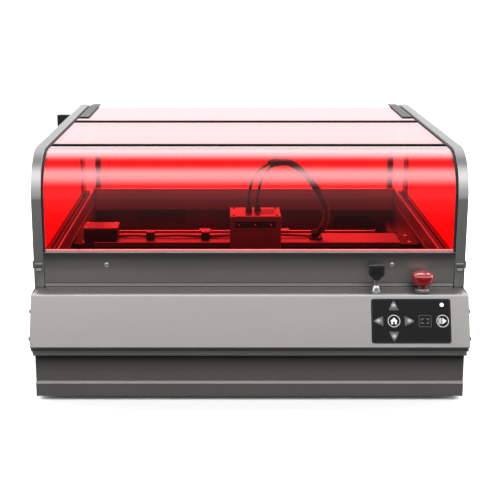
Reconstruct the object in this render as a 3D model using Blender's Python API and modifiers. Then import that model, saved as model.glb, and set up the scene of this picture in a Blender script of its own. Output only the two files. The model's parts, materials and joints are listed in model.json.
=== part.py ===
"""An enclosed desktop laser engraver: a machine base with a pull-out bed drawer, a hinged lid of red
acrylic, and an X-Y gantry with a laser head. Metres, X to the right, Y to the back, Z up, floor at Z = 0.

Lengths below are in the machine's own frame, whose X = 0 is the middle of the front beam. The empty
named machine shifts everything by CENTRE_X, so that the world origin is under the middle of the box
around the whole object, lid damper included."""

import math

import bmesh
import bpy
from mathutils import Euler, Matrix, Vector

# ---------------------------------------------------------------- driving dimensions
CENTRE_X = 0.021  # the lid damper stands out on the left only
GAP = 0.0003  # between pieces that touch
SIDES = {"left": -1, "right": 1}

FRONT_Y = -0.3175  # lower front edge of the front beam
BEAM_HALF = 0.284  # half the width of the front beam
BEAM_LOW = 0.078
BEAM_FLOOR = 0.0785  # underside of the sheet behind the moulding
BEAM_TOP = 0.141
BEAM_LEAN = 0.0275  # how far the slanted face leans back between its lower and upper edge
DECK_Z = 0.139
DECK_BACK = -0.238
MOULD_LOW = 0.0633
UNDER_HALF = 0.2755  # half the width of the open space under the beam's floor
HOLLOW_HALF = 0.2700  # half the width of the space inside the beam
DECK_RIDGES = (  # name, half width, front, back and top of the two ridges across the deck
    ("deck_ridge", 0.2700, -0.2545, -0.2530, 0.1400),
    ("deck_upstand", 0.2680, -0.2425, -0.2405, 0.1445),
)

BACK_Y = 0.287  # rear end of the side walls
SHEET = 0.003
FIN_X = 0.267  # outer face of the upright fins beside the chamber
FIN_TOP = 0.173
INNER_X = 0.264 - GAP  # widest that a piece between the fins can be, each side

PAN_HALF = 0.280
PAN_LOW = 0.006
PAN_TOP = 0.063
DRAWER_TOP = 0.0615
LEDGE = 0.0270  # height of the step across the drawer's front
BED_CELLS = 4  # pockets across the bed's underside, each way
BED_WALL, BED_PLATE = 0.0014, 0.0010  # thickness of its ribs and of its top

LID_IN = 0.2732  # inner and outer faces of the lid's arms
LID_OUT = 0.2865
LID_FRONT = -0.250
LID_TOP = 0.319
LID_BOTTOM = 0.1415
LID_CORNER = 0.061  # radius of the arms' upper front corner
LID_BAND = 0.020  # width of the arm seen from the side
LEG = 0.004  # thickness of the arm's rear leg, below the hinge
FOOT_LOW = 0.1338  # lower end of the tongue at each arm's front
FOOT_BACK = -0.2387
HINGE_Y, HINGE_Z = 0.283, 0.297
HINGE_R = 0.022
PIN_R = 0.005
PANEL_TOP = 0.317
ACRYLIC = 0.003
SEAM_FRONT, SEAM_REAR = -0.166, 0.071
SEAM = 0.0024  # width of the fin between two panels
PANEL_BACK = 0.256
SIDE_PANEL_X = 0.2785  # inner face of each side panel
WINDOW_BACK = 0.240  # rear edge of the arms' windows
WINDOW_Y = 0.262  # front face of the rear window
RAIL_LOW, RAIL_TOP = 0.145, 0.187

BEAM_FRONT_Y, BEAM_BACK_Y = -0.045, 0.015  # gantry beam
GANTRY_LOW, GANTRY_TOP = 0.122, 0.150
GANTRY_HALF = 0.232
GANTRY_WALL = 0.0025
X_PULLEY = (-0.221, -0.025)
PULLEY_R = 0.006
BELT_IN, BELT_OUT = 0.0063, 0.0078
BELT_WIDTH = 0.006

SHAFT_Y, SHAFT_Z = 0.258, 0.095  # shaft that drives both Y belts
IDLER_Y = -0.222
Y_BELT_X = 0.2365

HEAD_LEFT, HEAD_RIGHT = -0.0256, 0.0484
HEAD_FRONT, HEAD_BACK = -0.110, -0.0496
HEAD_LOW, HEAD_TOP = 0.100, 0.205
HEAD_MID = (HEAD_LEFT + HEAD_RIGHT) / 2

PANEL_X = 0.2088  # centre of the control panel
PANEL_WIDTH, PANEL_HEIGHT = 0.1024, 0.0574
PANEL_PROUD = 0.0008
PANEL_THICK = 0.003
KEY_PROUD = 0.0003
KEY_THICK = 0.002

KEY_X, STOP_X, SWITCH_Y = 0.167, 0.228, -0.268
EXHAUST_X, EXHAUST_Z = -0.150, 0.101
EXHAUST_IN, EXHAUST_OUT = 0.033, 0.036
EXHAUST_BACK = 0.3175
REAR_SKIN = BACK_Y + GAP  # front face of the rear panel
REAR_SKIN_THICK = 0.002

ACROSS = Euler((math.pi / 2, 0, math.pi / 2))  # an outline given as (Y, Z), extruded along X
ALONG = Euler((math.pi / 2, 0, 0))  # an outline given as (X, Z), extruded along Y
UPRIGHT = Euler((0, 0, 0))  # an outline given as (X, Y), extruded along Z


# ---------------------------------------------------------------- scene and materials
def clear_scene():
    for item in list(bpy.data.objects):
        bpy.data.objects.remove(item)


def new_collection(name):
    made = bpy.data.collections.new(name)
    bpy.context.scene.collection.children.link(made)
    return made


def material(name, colour, roughness, metallic=0.0):
    made = bpy.data.materials.new(name)
    made.use_nodes = True
    shader = made.node_tree.nodes["Principled BSDF"]
    shader.inputs["Base Color"].default_value = (*colour, 1.0)
    shader.inputs["Roughness"].default_value = roughness
    shader.inputs["Metallic"].default_value = metallic
    made.diffuse_color = (*colour, 1.0)
    return made


clear_scene()
PARTS = new_collection("laser_engraver")
CUTTERS = new_collection("laser_engraver_cutters")
FINISH = {
    "anodised_grey": material("anodised_grey", (0.36, 0.35, 0.33), 0.38, 0.85),
    "lid_silver": material("lid_silver", (0.55, 0.55, 0.54), 0.3, 0.9),
    "dark_sheet": material("dark_sheet", (0.09, 0.088, 0.085), 0.5, 0.4),
    "red_acrylic": material("red_acrylic", (0.9, 0.02, 0.02), 0.08),
    "black_plastic": material("black_plastic", (0.02, 0.02, 0.021), 0.45),
    "bare_steel": material("bare_steel", (0.6, 0.6, 0.6), 0.25, 1.0),
    "bed_steel": material("bed_steel", (0.35, 0.35, 0.36), 0.4, 1.0),
    "rubber": material("rubber", (0.03, 0.03, 0.03), 0.8),
    "panel_black": material("panel_black", (0.015, 0.015, 0.016), 0.35),
    "key_white": material("key_white", (0.75, 0.75, 0.74), 0.4),
    "stop_red": material("stop_red", (0.55, 0.01, 0.012), 0.25),
    "head_grey": material("head_grey", (0.25, 0.25, 0.25), 0.35, 0.6),
    "board_green": material("board_green", (0.02, 0.16, 0.06), 0.5),
}


# ---------------------------------------------------------------- placing
def empty(name, place=(0, 0, 0), parent=None):
    made = bpy.data.objects.new(name, None)
    made.empty_display_size = 0.02
    made.location = place
    made.parent = parent
    PARTS.objects.link(made)
    return made


MACHINE = empty("machine", (CENTRE_X, 0, 0))
JOINTS = {}


def joint_empty(name, place):
    """An empty on a joint's axis, which carries the pieces that move about it."""
    JOINTS[name] = empty("axis_" + name, place, MACHINE)
    return JOINTS[name]


def carry(piece, finish, body=None):
    """Gives a piece its material and its parent: the machine, or a joint's empty."""
    piece.data.materials.clear()
    piece.data.materials.append(FINISH[finish])
    piece.parent = JOINTS[body] if body else MACHINE
    if body:
        piece.matrix_parent_inverse = Matrix.Translation(-JOINTS[body].location)
    for polygon in piece.data.polygons:
        polygon.use_smooth = True
    piece.data.set_sharp_from_angle(angle=math.radians(35))
    return piece


def mesh_object(name, mesh, collection=None):
    made = bpy.data.objects.new(name, mesh)
    (collection or PARTS).objects.link(made)
    return made


# ---------------------------------------------------------------- shapes
def block(name, low, high, collection=None):
    """A box between two opposite corners."""
    size = Vector(high) - Vector(low)
    mesh = bpy.data.meshes.new(name)
    shape = bmesh.new()
    bmesh.ops.create_cube(shape, size=1.0, matrix=Matrix.Diagonal((*size, 1.0)))
    shape.to_mesh(mesh)
    shape.free()
    made = mesh_object(name, mesh, collection)
    made.location = (Vector(low) + Vector(high)) / 2
    return made


def pockets(name, low, high, count, wall, plate):
    """A cutter of count by count boxes, a wall apart, that hollows a box from below up to its top plate."""
    shape = bmesh.new()
    room = [(high[axis] - low[axis] - wall) / count for axis in (0, 1)]
    size = (room[0] - wall, room[1] - wall, high[2] - low[2])
    for column in range(count):
        for row in range(count):
            corner = Vector((low[0] + wall + column * room[0], low[1] + wall + row * room[1], low[2] - plate))
            matrix = Matrix.LocRotScale(corner + Vector(size) / 2, None, Vector(size))
            bmesh.ops.create_cube(shape, size=1.0, matrix=matrix)
    mesh = bpy.data.meshes.new(name)
    shape.to_mesh(mesh)
    shape.free()
    return mesh_object(name, mesh, CUTTERS)


def soften(piece, width, segments=1):
    """Small rounded or chamfered edges."""
    bevel = piece.modifiers.new("edges", "BEVEL")
    bevel.width = width
    bevel.segments = segments
    bevel.limit_method = "ANGLE"
    bevel.angle_limit = math.radians(40)
    return piece


def prism(name, outlines, thickness, place, turn, collection=None):
    """Closed outlines, the first one round the others, extruded to both sides of their plane."""
    curve = bpy.data.curves.new(name, "CURVE")
    curve.dimensions = "2D"
    curve.fill_mode = "BOTH"
    curve.extrude = thickness / 2
    for outline in outlines:
        spline = curve.splines.new("POLY")
        spline.points.add(len(outline) - 1)
        for point, (u, v) in zip(spline.points, outline):
            point.co = (u, v, 0, 1)
        spline.use_cyclic_u = True
    shape = bpy.data.objects.new(name + "_outline", curve)
    bpy.context.scene.collection.objects.link(shape)
    bpy.context.view_layer.update()
    graph = bpy.context.evaluated_depsgraph_get()
    mesh = bpy.data.meshes.new_from_object(shape.evaluated_get(graph))
    bpy.data.objects.remove(shape)
    bpy.data.curves.remove(curve)
    welded = bmesh.new()
    welded.from_mesh(mesh)
    bmesh.ops.remove_doubles(welded, verts=welded.verts, dist=1e-6)
    bmesh.ops.recalc_face_normals(welded, faces=welded.faces)
    welded.to_mesh(mesh)
    welded.free()
    mesh.name = name
    made = mesh_object(name, mesh, collection)
    made.location = place
    made.rotation_euler = turn
    return made


def section(name, outline, x0, x1, collection=None):
    """A (Y, Z) outline run along X from x0 to x1."""
    outlines = outline if isinstance(outline[0][0], tuple) else [outline]
    return prism(name, outlines, x1 - x0, ((x0 + x1) / 2, 0, 0), ACROSS, collection)


def run(name, outline, y0, y1, collection=None):
    """An (X, Z) outline run along Y from y0 to y1."""
    outlines = outline if isinstance(outline[0][0], tuple) else [outline]
    return prism(name, outlines, y1 - y0, (0, (y0 + y1) / 2, 0), ALONG, collection)


def turned(name, profile, place, turn=UPRIGHT, steps=24, closed=False, collection=None):
    """A profile of (radius, height) points turned about its own Z. It runs down the outer side."""
    mesh = bpy.data.meshes.new(name)
    count = len(profile)
    edges = [(i, i + 1) for i in range(count - 1)]
    if closed:
        edges.append((count - 1, 0))
    mesh.from_pydata([(r, 0, z) for r, z in profile], edges, [])
    made = mesh_object(name, mesh, collection)
    screw = made.modifiers.new("turn", "SCREW")
    screw.steps = steps
    screw.render_steps = steps
    screw.use_merge_vertices = True
    screw.merge_threshold = 0.00001
    screw.use_smooth_shade = True
    made.location = place
    made.rotation_euler = turn
    return made


def rod(name, radius, length, place, turn=UPRIGHT, steps=16, collection=None):
    """A plain cylinder centred on its place."""
    half = length / 2
    profile = [(0, half), (radius, half), (radius, -half), (0, -half)]
    return turned(name, profile, place, turn, steps, collection=collection)


def hide_tool(tool, parent):
    tool.hide_render = True
    tool.display_type = "WIRE"
    tool.parent = parent
    return tool


def combine(piece, tool, operation):
    """A Boolean with a tool given in the same frame as the piece. Call it before carry()."""
    boolean = piece.modifiers.new(operation.lower(), "BOOLEAN")
    boolean.operation = operation
    boolean.solver = "EXACT"
    boolean.object = hide_tool(tool, MACHINE)
    return piece


def cut(piece, tool):
    return combine(piece, tool, "DIFFERENCE")


def join(piece, tool):
    return combine(piece, tool, "UNION")


def arc(centre, radius, start, end, count=8):
    """Points of an arc between two angles in degrees."""
    angles = [math.radians(start + (end - start) * i / count) for i in range(count + 1)]
    return [(centre[0] + radius * math.cos(a), centre[1] + radius * math.sin(a)) for a in angles]


def rectangle(u0, u1, v0, v1):
    return [(u0, v0), (u1, v0), (u1, v1), (u0, v1)]


def rounded(u0, u1, v0, v1, radius, count=4):
    corners = [(u1 - radius, v0 + radius, -90), (u1 - radius, v1 - radius, 0)]
    corners += [(u0 + radius, v1 - radius, 90), (u0 + radius, v0 + radius, 180)]
    points = []
    for u, v, start in corners:
        points += arc((u, v), radius, start, start + 90, count)
    return points


def stadium(u0, u1, v, radius, count=8):
    """A slot outline with round ends centred on u0 and u1."""
    return arc((u1, v), radius, -90, 90, count) + arc((u0, v), radius, 90, 270, count)


# ---------------------------------------------------------------- base
FACE_TURN = math.atan2(BEAM_LEAN, BEAM_TOP - BEAM_LOW)  # the slanted face leans back by this angle
FACE_EULER = Euler((math.pi / 2 - FACE_TURN, 0, 0))
FACE_OUT = Vector((0, -math.cos(FACE_TURN), math.sin(FACE_TURN)))
FACE_UP = Vector((0, math.sin(FACE_TURN), math.cos(FACE_TURN)))
PANEL_Z = 0.109
PANEL_CENTRE = Vector((PANEL_X, FRONT_Y + (PANEL_Z - BEAM_LOW) * math.tan(FACE_TURN), PANEL_Z))


def on_face(across, up, out):
    """A point on the slanted face, from the control panel's centre."""
    return PANEL_CENTRE + Vector((across, 0, 0)) + FACE_UP * up + FACE_OUT * out


def face_prism(name, outlines, back, front, across=0.0, up=0.0, collection=None):
    """Outlines drawn on the slanted face, extruded between two depths measured outwards from it."""
    place = on_face(across, up, (back + front) / 2)
    return prism(name, outlines, front - back, place, FACE_EULER, collection)


def front_beam():
    lip = FRONT_Y + BEAM_LEAN
    outline = [
        (FRONT_Y, BEAM_LOW), (lip - 0.0007, BEAM_TOP - 0.0012), (lip + 0.0012, BEAM_TOP),
        (lip + 0.0040, BEAM_TOP), (lip + 0.0060, DECK_Z), (DECK_BACK, DECK_Z), (DECK_BACK, MOULD_LOW),
        (-0.3085, MOULD_LOW), (-0.3120, 0.0645),
        (-0.3120, 0.0672), (-0.3105, 0.0672), (-0.3105, 0.0700), (-0.3142, 0.0700),
        (-0.3142, 0.0732), (-0.3125, 0.0732), (-0.3125, 0.0758), (-0.3160, 0.0758),
    ]
    beam = section("front_beam", outline, -BEAM_HALF, BEAM_HALF)
    hollow = [(-0.3117, 0.0812), (-0.2878, 0.136), (DECK_BACK + 0.01, 0.136), (DECK_BACK + 0.01, 0.0812)]
    cut(beam, section("beam_hollow", hollow, -HOLLOW_HALF, HOLLOW_HALF, CUTTERS))
    low, high = (-UNDER_HALF, -0.3030, MOULD_LOW - 0.01), (UNDER_HALF, DECK_BACK + 0.01, BEAM_FLOOR)
    cut(beam, block("beam_underside", low, high, CUTTERS))
    for ridge, reach, front, back, top in DECK_RIDGES:
        join(beam, block(ridge, (-reach, front, DECK_Z - 0.001), (reach, back, top), CUTTERS))
    for side, sign in SIDES.items():
        x0, x1 = sorted((sign * (LID_IN - 0.001), sign * 0.3))
        low, high = (x0, -0.2535, FOOT_LOW - 0.0013), (x1, DECK_BACK + 0.001, 0.15)
        cut(beam, block(f"foot_notch_{side}", low, high, CUTTERS))
        for step, (reach, top) in enumerate(((0.0835, 0.0768), (0.0815, 0.0715))):
            x0, x1 = sorted((sign * (0.2 + reach), sign * 0.3))
            name = f"mould_step_{side}_{step}"
            cut(beam, block(name, (x0, -0.33, 0.05), (x1, -0.30, top), CUTTERS))
    half_w, half_h = PANEL_WIDTH / 2 + GAP, PANEL_HEIGHT / 2 + GAP
    recess = rounded(-half_w, half_w, -half_h, half_h, 0.0033)
    cut(beam, face_prism("panel_recess", [recess], PANEL_PROUD - PANEL_THICK - GAP, 0.01, collection=CUTTERS))
    cut(beam, rod("stop_hole", 0.0085, 0.02, (STOP_X, SWITCH_Y, DECK_Z), collection=CUTTERS))
    carry(beam, "anodised_grey")


def side_wall(side, sign):
    outline = [
        (0.284, 0.0645), (0.284, DECK_Z), (FIN_X, DECK_Z), (FIN_X, FIN_TOP), (0.264, FIN_TOP),
        (0.264, 0.092), (FIN_X, 0.092), (FIN_X, 0.136), (0.281, 0.136), (0.281, 0.0675),
        (0.256, 0.0675), (0.256, 0.0645),
    ]
    wall = run(f"side_wall_{side}", [(sign * x, z) for x, z in outline], DECK_BACK + GAP, BACK_Y)
    carry(wall, "anodised_grey")


def rear_beam():
    outer = rectangle(0.255, 0.2837, 0.135, FIN_TOP)
    inner = rectangle(0.258, 0.2807, 0.138, FIN_TOP - SHEET)
    carry(section("rear_beam", [outer, inner], -INNER_X, INNER_X), "anodised_grey")


INLET = (0.165, 0.225, 0.088, 0.116)  # X and Z limits of the power inlet's body


def rear_panel():
    outline = [
        (-0.284, 0.0645), (0.284, 0.0645), (0.284, DECK_Z), (FIN_X, DECK_Z), (FIN_X, FIN_TOP),
        (-FIN_X, FIN_TOP), (-FIN_X, DECK_Z), (-0.284, DECK_Z),
    ]
    x0, x1, z0, z1 = INLET
    holes = [
        arc((EXHAUST_X, EXHAUST_Z), EXHAUST_IN, 0, 345, 23),
        rectangle(x0 - GAP, x1 + GAP, z0 - GAP, z1 + GAP),
    ]
    panel = run("rear_panel", [outline, *holes], REAR_SKIN, REAR_SKIN + REAR_SKIN_THICK)
    carry(panel, "anodised_grey")


def base_pan():
    pan = block("base_pan", (-PAN_HALF, -0.2903, PAN_LOW), (PAN_HALF, BACK_Y, PAN_TOP))
    low = (0.0025 - PAN_HALF, -0.31, PAN_LOW + 0.0025)
    high = (PAN_HALF - 0.0025, BACK_Y - 0.0025, PAN_TOP + 0.01)
    carry(cut(pan, block("pan_hollow", low, high, CUTTERS)), "dark_sheet")


def feet():
    top = PAN_LOW - GAP
    profile = [(0, top), (0.015, top), (0.013, 0.0006), (0.0124, 0), (0, 0)]
    for depth, y in (("front", -0.255), ("rear", 0.255)):
        for side, sign in SIDES.items():
            carry(turned(f"foot_{depth}_{side}", profile, (sign * 0.245, y, 0), steps=20), "rubber")


def y_rails():
    """Linear rails along both sides, with a groove on the inner side."""
    outline = [
        (0.2437, 0.100), (INNER_X, 0.100), (INNER_X, 0.1187), (0.2437, 0.1187),
        (0.2437, 0.1120), (0.2470, 0.1105), (0.2470, 0.1082), (0.2437, 0.1067),
    ]
    for side, sign in SIDES.items():
        rail = run(f"y_rail_{side}", [(sign * x, z) for x, z in outline], -0.230, 0.2495)
        carry(rail, "bare_steel")


def y_belts():
    reach = Y_BELT_X + BELT_WIDTH / 2
    for side, sign in SIDES.items():
        loops = [stadium(IDLER_Y, SHAFT_Y, SHAFT_Z, r) for r in (BELT_OUT, BELT_IN)]
        x0, x1 = sorted((sign * (reach - BELT_WIDTH), sign * reach))
        carry(section(f"y_belt_{side}", loops, x0, x1), "rubber")


def y_motor():
    half = 0.021
    low, high = (-half, SHAFT_Y - half, SHAFT_Z - half), (half, SHAFT_Y + half, SHAFT_Z + half)
    motor = block("y_motor", low, high)
    soften(motor, 0.003)
    cut(motor, rod("y_motor_bore", 0.0043, 0.06, (0, SHAFT_Y, SHAFT_Z), ACROSS, collection=CUTTERS))
    carry(motor, "black_plastic")


def controller_board():
    board = block("controller_board", (-0.180, -0.2620, 0.086), (-0.020, -0.2604, 0.132))
    chips = (
        (-0.170, -0.150, 0.092, 0.126, 0.012), (-0.120, -0.100, 0.100, 0.120, 0.0035),
        (-0.080, -0.060, 0.092, 0.112, 0.0060), (-0.050, -0.030, 0.094, 0.126, 0.0110),
    )
    for index, (x0, x1, z0, z1, height) in enumerate(chips):
        low, high = (x0, -0.2610, z0), (x1, -0.2604 + height, z1)
        join(board, block(f"board_chip_{index}", low, high, CUTTERS))
    carry(board, "board_green")


def power_inlet():
    x0, x1, z0, z1 = INLET
    skin = REAR_SKIN + REAR_SKIN_THICK
    inlet = block("power_inlet", (x0, 0.268, z0), (x1, skin + 0.001, z1))
    flange = (x0 - 0.005, skin + GAP, z0 - 0.005), (x1 + 0.005, skin + 0.0023, z1 + 0.005)
    join(inlet, block("inlet_flange", *flange, CUTTERS))
    cut(inlet, block("inlet_socket", (0.170, 0.276, 0.0915), (0.199, 0.30, 0.1125), CUTTERS))
    cut(inlet, block("inlet_rocker_pocket", (0.2055, 0.276, 0.0905), (0.2205, 0.30, 0.1135), CUTTERS))
    for index, z in enumerate((0.0985, 0.1055)):
        prong = block(f"inlet_prong_{index}", (0.181, 0.270, z - 0.001), (0.187, 0.287, z + 0.001), CUTTERS)
        join(inlet, prong)
    carry(inlet, "black_plastic")


ROCKER_AT = (0.213, 0.2872, 0.102)


def rocker():
    """A two-sided rocker, tilted to its off side at rest."""
    joint_empty("rocker", ROCKER_AT)
    outline = [(-0.0045, -0.0085), (0.0033, -0.0095), (0.0020, 0), (0.0033, 0.0095), (-0.0045, 0.0085)]
    made = prism("rocker", [outline], 0.0135, (0, 0, 0), ACROSS)
    made.location = ROCKER_AT
    tilt = Matrix.Rotation(math.radians(-7), 4, "X")
    made.data.transform(ACROSS.to_matrix().to_4x4().inverted() @ tilt @ ACROSS.to_matrix().to_4x4())
    carry(soften(made, 0.0004), "black_plastic", "rocker")


def exhaust():
    """A round spigot on a square flange, with a hub on four spokes, and the fan that turns inside."""
    skin = REAR_SKIN + REAR_SKIN_THICK + GAP
    facing = Euler((-math.pi / 2, 0, 0))
    ring = [
        (EXHAUST_OUT, EXHAUST_BACK - skin), (EXHAUST_OUT, 0), (EXHAUST_IN, 0),
        (EXHAUST_IN, EXHAUST_BACK - skin),
    ]
    duct = turned("exhaust_duct", ring, (EXHAUST_X, skin, EXHAUST_Z), facing, 32, True)
    half = 0.0365
    plate = rounded(EXHAUST_X - 0.042, EXHAUST_X + 0.042, EXHAUST_Z - half, EXHAUST_Z + half - 0.0015, 0.005)
    opening = arc((EXHAUST_X, EXHAUST_Z), EXHAUST_IN + 0.001, 0, 348.75, 31)
    join(duct, run("exhaust_flange", [plate, opening], skin, skin + SHEET, CUTTERS))
    middle = skin + SHEET / 2
    join(duct, rod("exhaust_hub", 0.012, SHEET, (EXHAUST_X, middle, EXHAUST_Z), facing, 24, CUTTERS))
    for index in range(4):
        low, high = (0.010, -SHEET / 2, -0.0015), (0.0345, SHEET / 2, 0.0015)
        spoke = block(f"exhaust_spoke_{index}", low, high, CUTTERS)
        spoke.data.transform(Matrix.Translation(spoke.location))
        spoke.location = (EXHAUST_X, middle, EXHAUST_Z)
        spoke.rotation_euler = (0, math.radians(45 + 90 * index), 0)
        join(duct, spoke)
    carry(duct, "black_plastic")

    centre = Vector((EXHAUST_X, 0.3000, EXHAUST_Z))
    joint_empty("exhaust_fan", centre)
    fan = turned("exhaust_fan", [(0, 0.006), (0.0105, 0.006), (0.0115, 0.005), (0.0115, -0.006), (0, -0.006)],
                 centre, facing, 24)
    blades = 7
    for index in range(blades):
        blade = block(f"fan_blade_{index}", (0.0095, -0.0006, -0.0075), (0.0310, 0.0006, 0.0075), CUTTERS)
        pitch = Matrix.Rotation(math.radians(52), 4, "X")
        blade.data.transform(pitch @ Matrix.Translation(blade.location))
        blade.location = centre
        blade.rotation_euler = (0, 2 * math.pi * index / blades, 0)
        join(fan, blade)
    carry(fan, "black_plastic", "exhaust_fan")


def hinge_post(side, sign):
    foot = FIN_TOP + GAP
    outline = [(0.269, foot), (0.2865, foot)] + arc((HINGE_Y, HINGE_Z), 0.012, 0, 180, 10)
    x0, x1 = sorted((sign * 0.2555, sign * INNER_X))
    post = section(f"hinge_post_{side}", outline, x0, x1)
    end = 0.305 if side == "left" else LID_OUT - 0.001
    length = end - 0.258
    centre = (sign * (0.258 + length / 2), HINGE_Y, HINGE_Z)
    join(post, rod(f"hinge_pin_{side}", PIN_R, length, centre, ACROSS, 16, CUTTERS))
    carry(post, "dark_sheet")


def rear_window():
    low, high = (-INNER_X, WINDOW_Y, FIN_TOP + GAP), (INNER_X, WINDOW_Y + ACRYLIC, 0.3128)
    carry(block("rear_window", low, high), "red_acrylic")


# ---------------------------------------------------------------- control panel, key and stop button
KEY_ROW = -0.0224  # across, of the home key and the up and down arrows
ARROW_STEP = 0.020


def arrow_outline(turn):
    """A rounded arrow head that points up, turned by a number of quarter turns."""
    points = [(0, 0.0064), (-0.0007, 0.0060), (-0.0064, -0.0054), (-0.0060, -0.0062), (0.0060, -0.0062),
              (0.0064, -0.0054), (0.0007, 0.0060)]
    angle = turn * math.pi / 2
    across, up = math.cos(angle), math.sin(angle)
    return [(u * across - v * up, u * up + v * across) for u, v in points]


def grown(outline, by):
    """An outline about its own centre made larger by a clearance."""
    reach = max(math.hypot(u, v) for u, v in outline)
    scale = (reach + by * 2) / reach
    return [(u * scale, v * scale) for u, v in outline]


def keys():
    """Name, place on the panel and outline of each key."""
    found = []
    arrows = (("key_up", 0, 0, 1), ("key_left", 1, -1, 0), ("key_down", 2, 0, -1), ("key_right", 3, 1, 0))
    for name, turn, across, up in arrows:
        found.append((name, KEY_ROW + across * ARROW_STEP, up * ARROW_STEP, arrow_outline(turn)))
    found.append(("key_home", KEY_ROW, 0, arc((0, 0), 0.0084, 0, 345, 23)))
    found.append(("key_frame", 0.0178, 0, rounded(-0.00885, 0.00885, -0.0085, 0.0085, 0.001, 2)))
    found.append(("key_start", 0.0406, 0, arc((0, 0), 0.0083, 0, 345, 23)))
    return found


def control_panel():
    half_w, half_h = PANEL_WIDTH / 2, PANEL_HEIGHT / 2
    outlines = [rounded(-half_w, half_w, -half_h, half_h, 0.003)]
    for _, across, up, outline in keys():
        outlines.append([(across + u, up + v) for u, v in grown(outline, GAP)])
    panel = face_prism("control_panel", outlines, PANEL_PROUD - PANEL_THICK, PANEL_PROUD)
    carry(panel, "panel_black")
    front = PANEL_PROUD + KEY_PROUD
    for name, across, up, outline in keys():
        joint_empty(name, on_face(across, up, front))
        carry(face_prism(name, [outline], front - KEY_THICK, front, across, up), "key_white", name)


def key_switch():
    low = DECK_Z + GAP
    collar = [
        (0.0046, low + 0.0067), (0.0052, low + 0.0042), (0.0062, low + 0.0008), (0.0100, low + 0.0008),
        (0.0100, low), (0.0041, low), (0.0041, low + 0.0067),
    ]
    carry(turned("key_collar", collar, (KEY_X, SWITCH_Y, 0), steps=24, closed=True), "bare_steel")

    joint_empty("key", (KEY_X, SWITCH_Y, low))
    barrel_top = low + 0.0072
    barrel = [(0, barrel_top), (0.0038, barrel_top), (0.0038, low), (0, low)]
    key = turned("key", barrel, (KEY_X, SWITCH_Y, 0))
    blade = block("key_blade", (KEY_X - 0.0021, SWITCH_Y - 0.0009, low + 0.003),
                  (KEY_X + 0.0021, SWITCH_Y + 0.0009, 0.158), CUTTERS)
    join(key, blade)
    outline = [
        (-0.0030, 0.1540), (0.0030, 0.1540), (0.0100, 0.1608), (0.0100, 0.1730), (0.0084, 0.1746),
        (-0.0084, 0.1746), (-0.0100, 0.1730), (-0.0100, 0.1608),
    ]
    outline = [(KEY_X + x, z) for x, z in outline]
    join(key, run("key_head", outline, SWITCH_Y - 0.0028, SWITCH_Y + 0.0028, CUTTERS))
    carry(key, "black_plastic", "key")


def stop_button():
    low = DECK_Z + GAP
    collar = [
        (0.0080, low + 0.0045), (0.0092, low + 0.0030), (0.0112, low + 0.0010), (0.0112, low), (0.0073, low),
        (0.0073, low + 0.0045),
    ]
    carry(turned("estop_collar", collar, (STOP_X, SWITCH_Y, 0), steps=24, closed=True), "bare_steel")
    joint_empty("estop_cap", (STOP_X, SWITCH_Y, low))
    cap = [
        (0, 0.1660), (0.0060, 0.1657), (0.0110, 0.1645), (0.0138, 0.1620), (0.0145, 0.1590),
        (0.0143, 0.1550), (0.0122, 0.1505), (0.0110, 0.1490), (0.0068, 0.1490), (0.0068, 0.1370), (0, 0.1370),
    ]
    carry(turned("estop_cap", cap, (STOP_X, SWITCH_Y, 0), steps=28), "stop_red", "estop_cap")


# ---------------------------------------------------------------- drawer
def drawer():
    joint_empty("drawer", (0, -0.304, PAN_LOW))
    outline = [
        (-0.3070, 0.0065), (-0.3070, LEDGE - 0.0015), (-0.3060, LEDGE), (-0.3040, LEDGE), (-0.3040, DRAWER_TOP),
        (-0.2906, DRAWER_TOP), (-0.2906, 0.0065),
    ]
    front = section("drawer_front", outline, -PAN_HALF, PAN_HALF)
    hollow = (0.0025 - PAN_HALF, -0.3015, 0.009), (PAN_HALF - 0.0025, -0.28, DRAWER_TOP - 0.0025)
    carry(cut(front, block("drawer_front_hollow", *hollow, CUTTERS)), "dark_sheet", "drawer")

    tray = block("drawer_tray", (-0.262, -0.2903, 0.010), (0.262, 0.245, 0.048))
    cut(tray, block("tray_well", (-0.245, -0.2780, 0.0115), (0.245, 0.2330, 0.06), CUTTERS))
    cut(tray, block("tray_ledge", (-0.2605, -0.2888, 0.030), (0.2605, 0.2435, 0.06), CUTTERS))
    channel = [rectangle(-0.2605, 0.2605, -0.2888, 0.2435), rectangle(-0.2465, 0.2465, -0.2795, 0.2345)]
    cut(tray, prism("tray_channel", channel, 0.0285, (0, 0, 0.01425), UPRIGHT, CUTTERS))
    carry(tray, "dark_sheet", "drawer")
    low, high = (-0.2602, -0.2885, 0.0303), (0.2602, 0.2432, 0.050)
    bed = block("honeycomb_bed", low, high)
    cut(bed, pockets("bed_pockets", low, high, BED_CELLS, BED_WALL, BED_PLATE))
    carry(bed, "bed_steel", "drawer")


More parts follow.
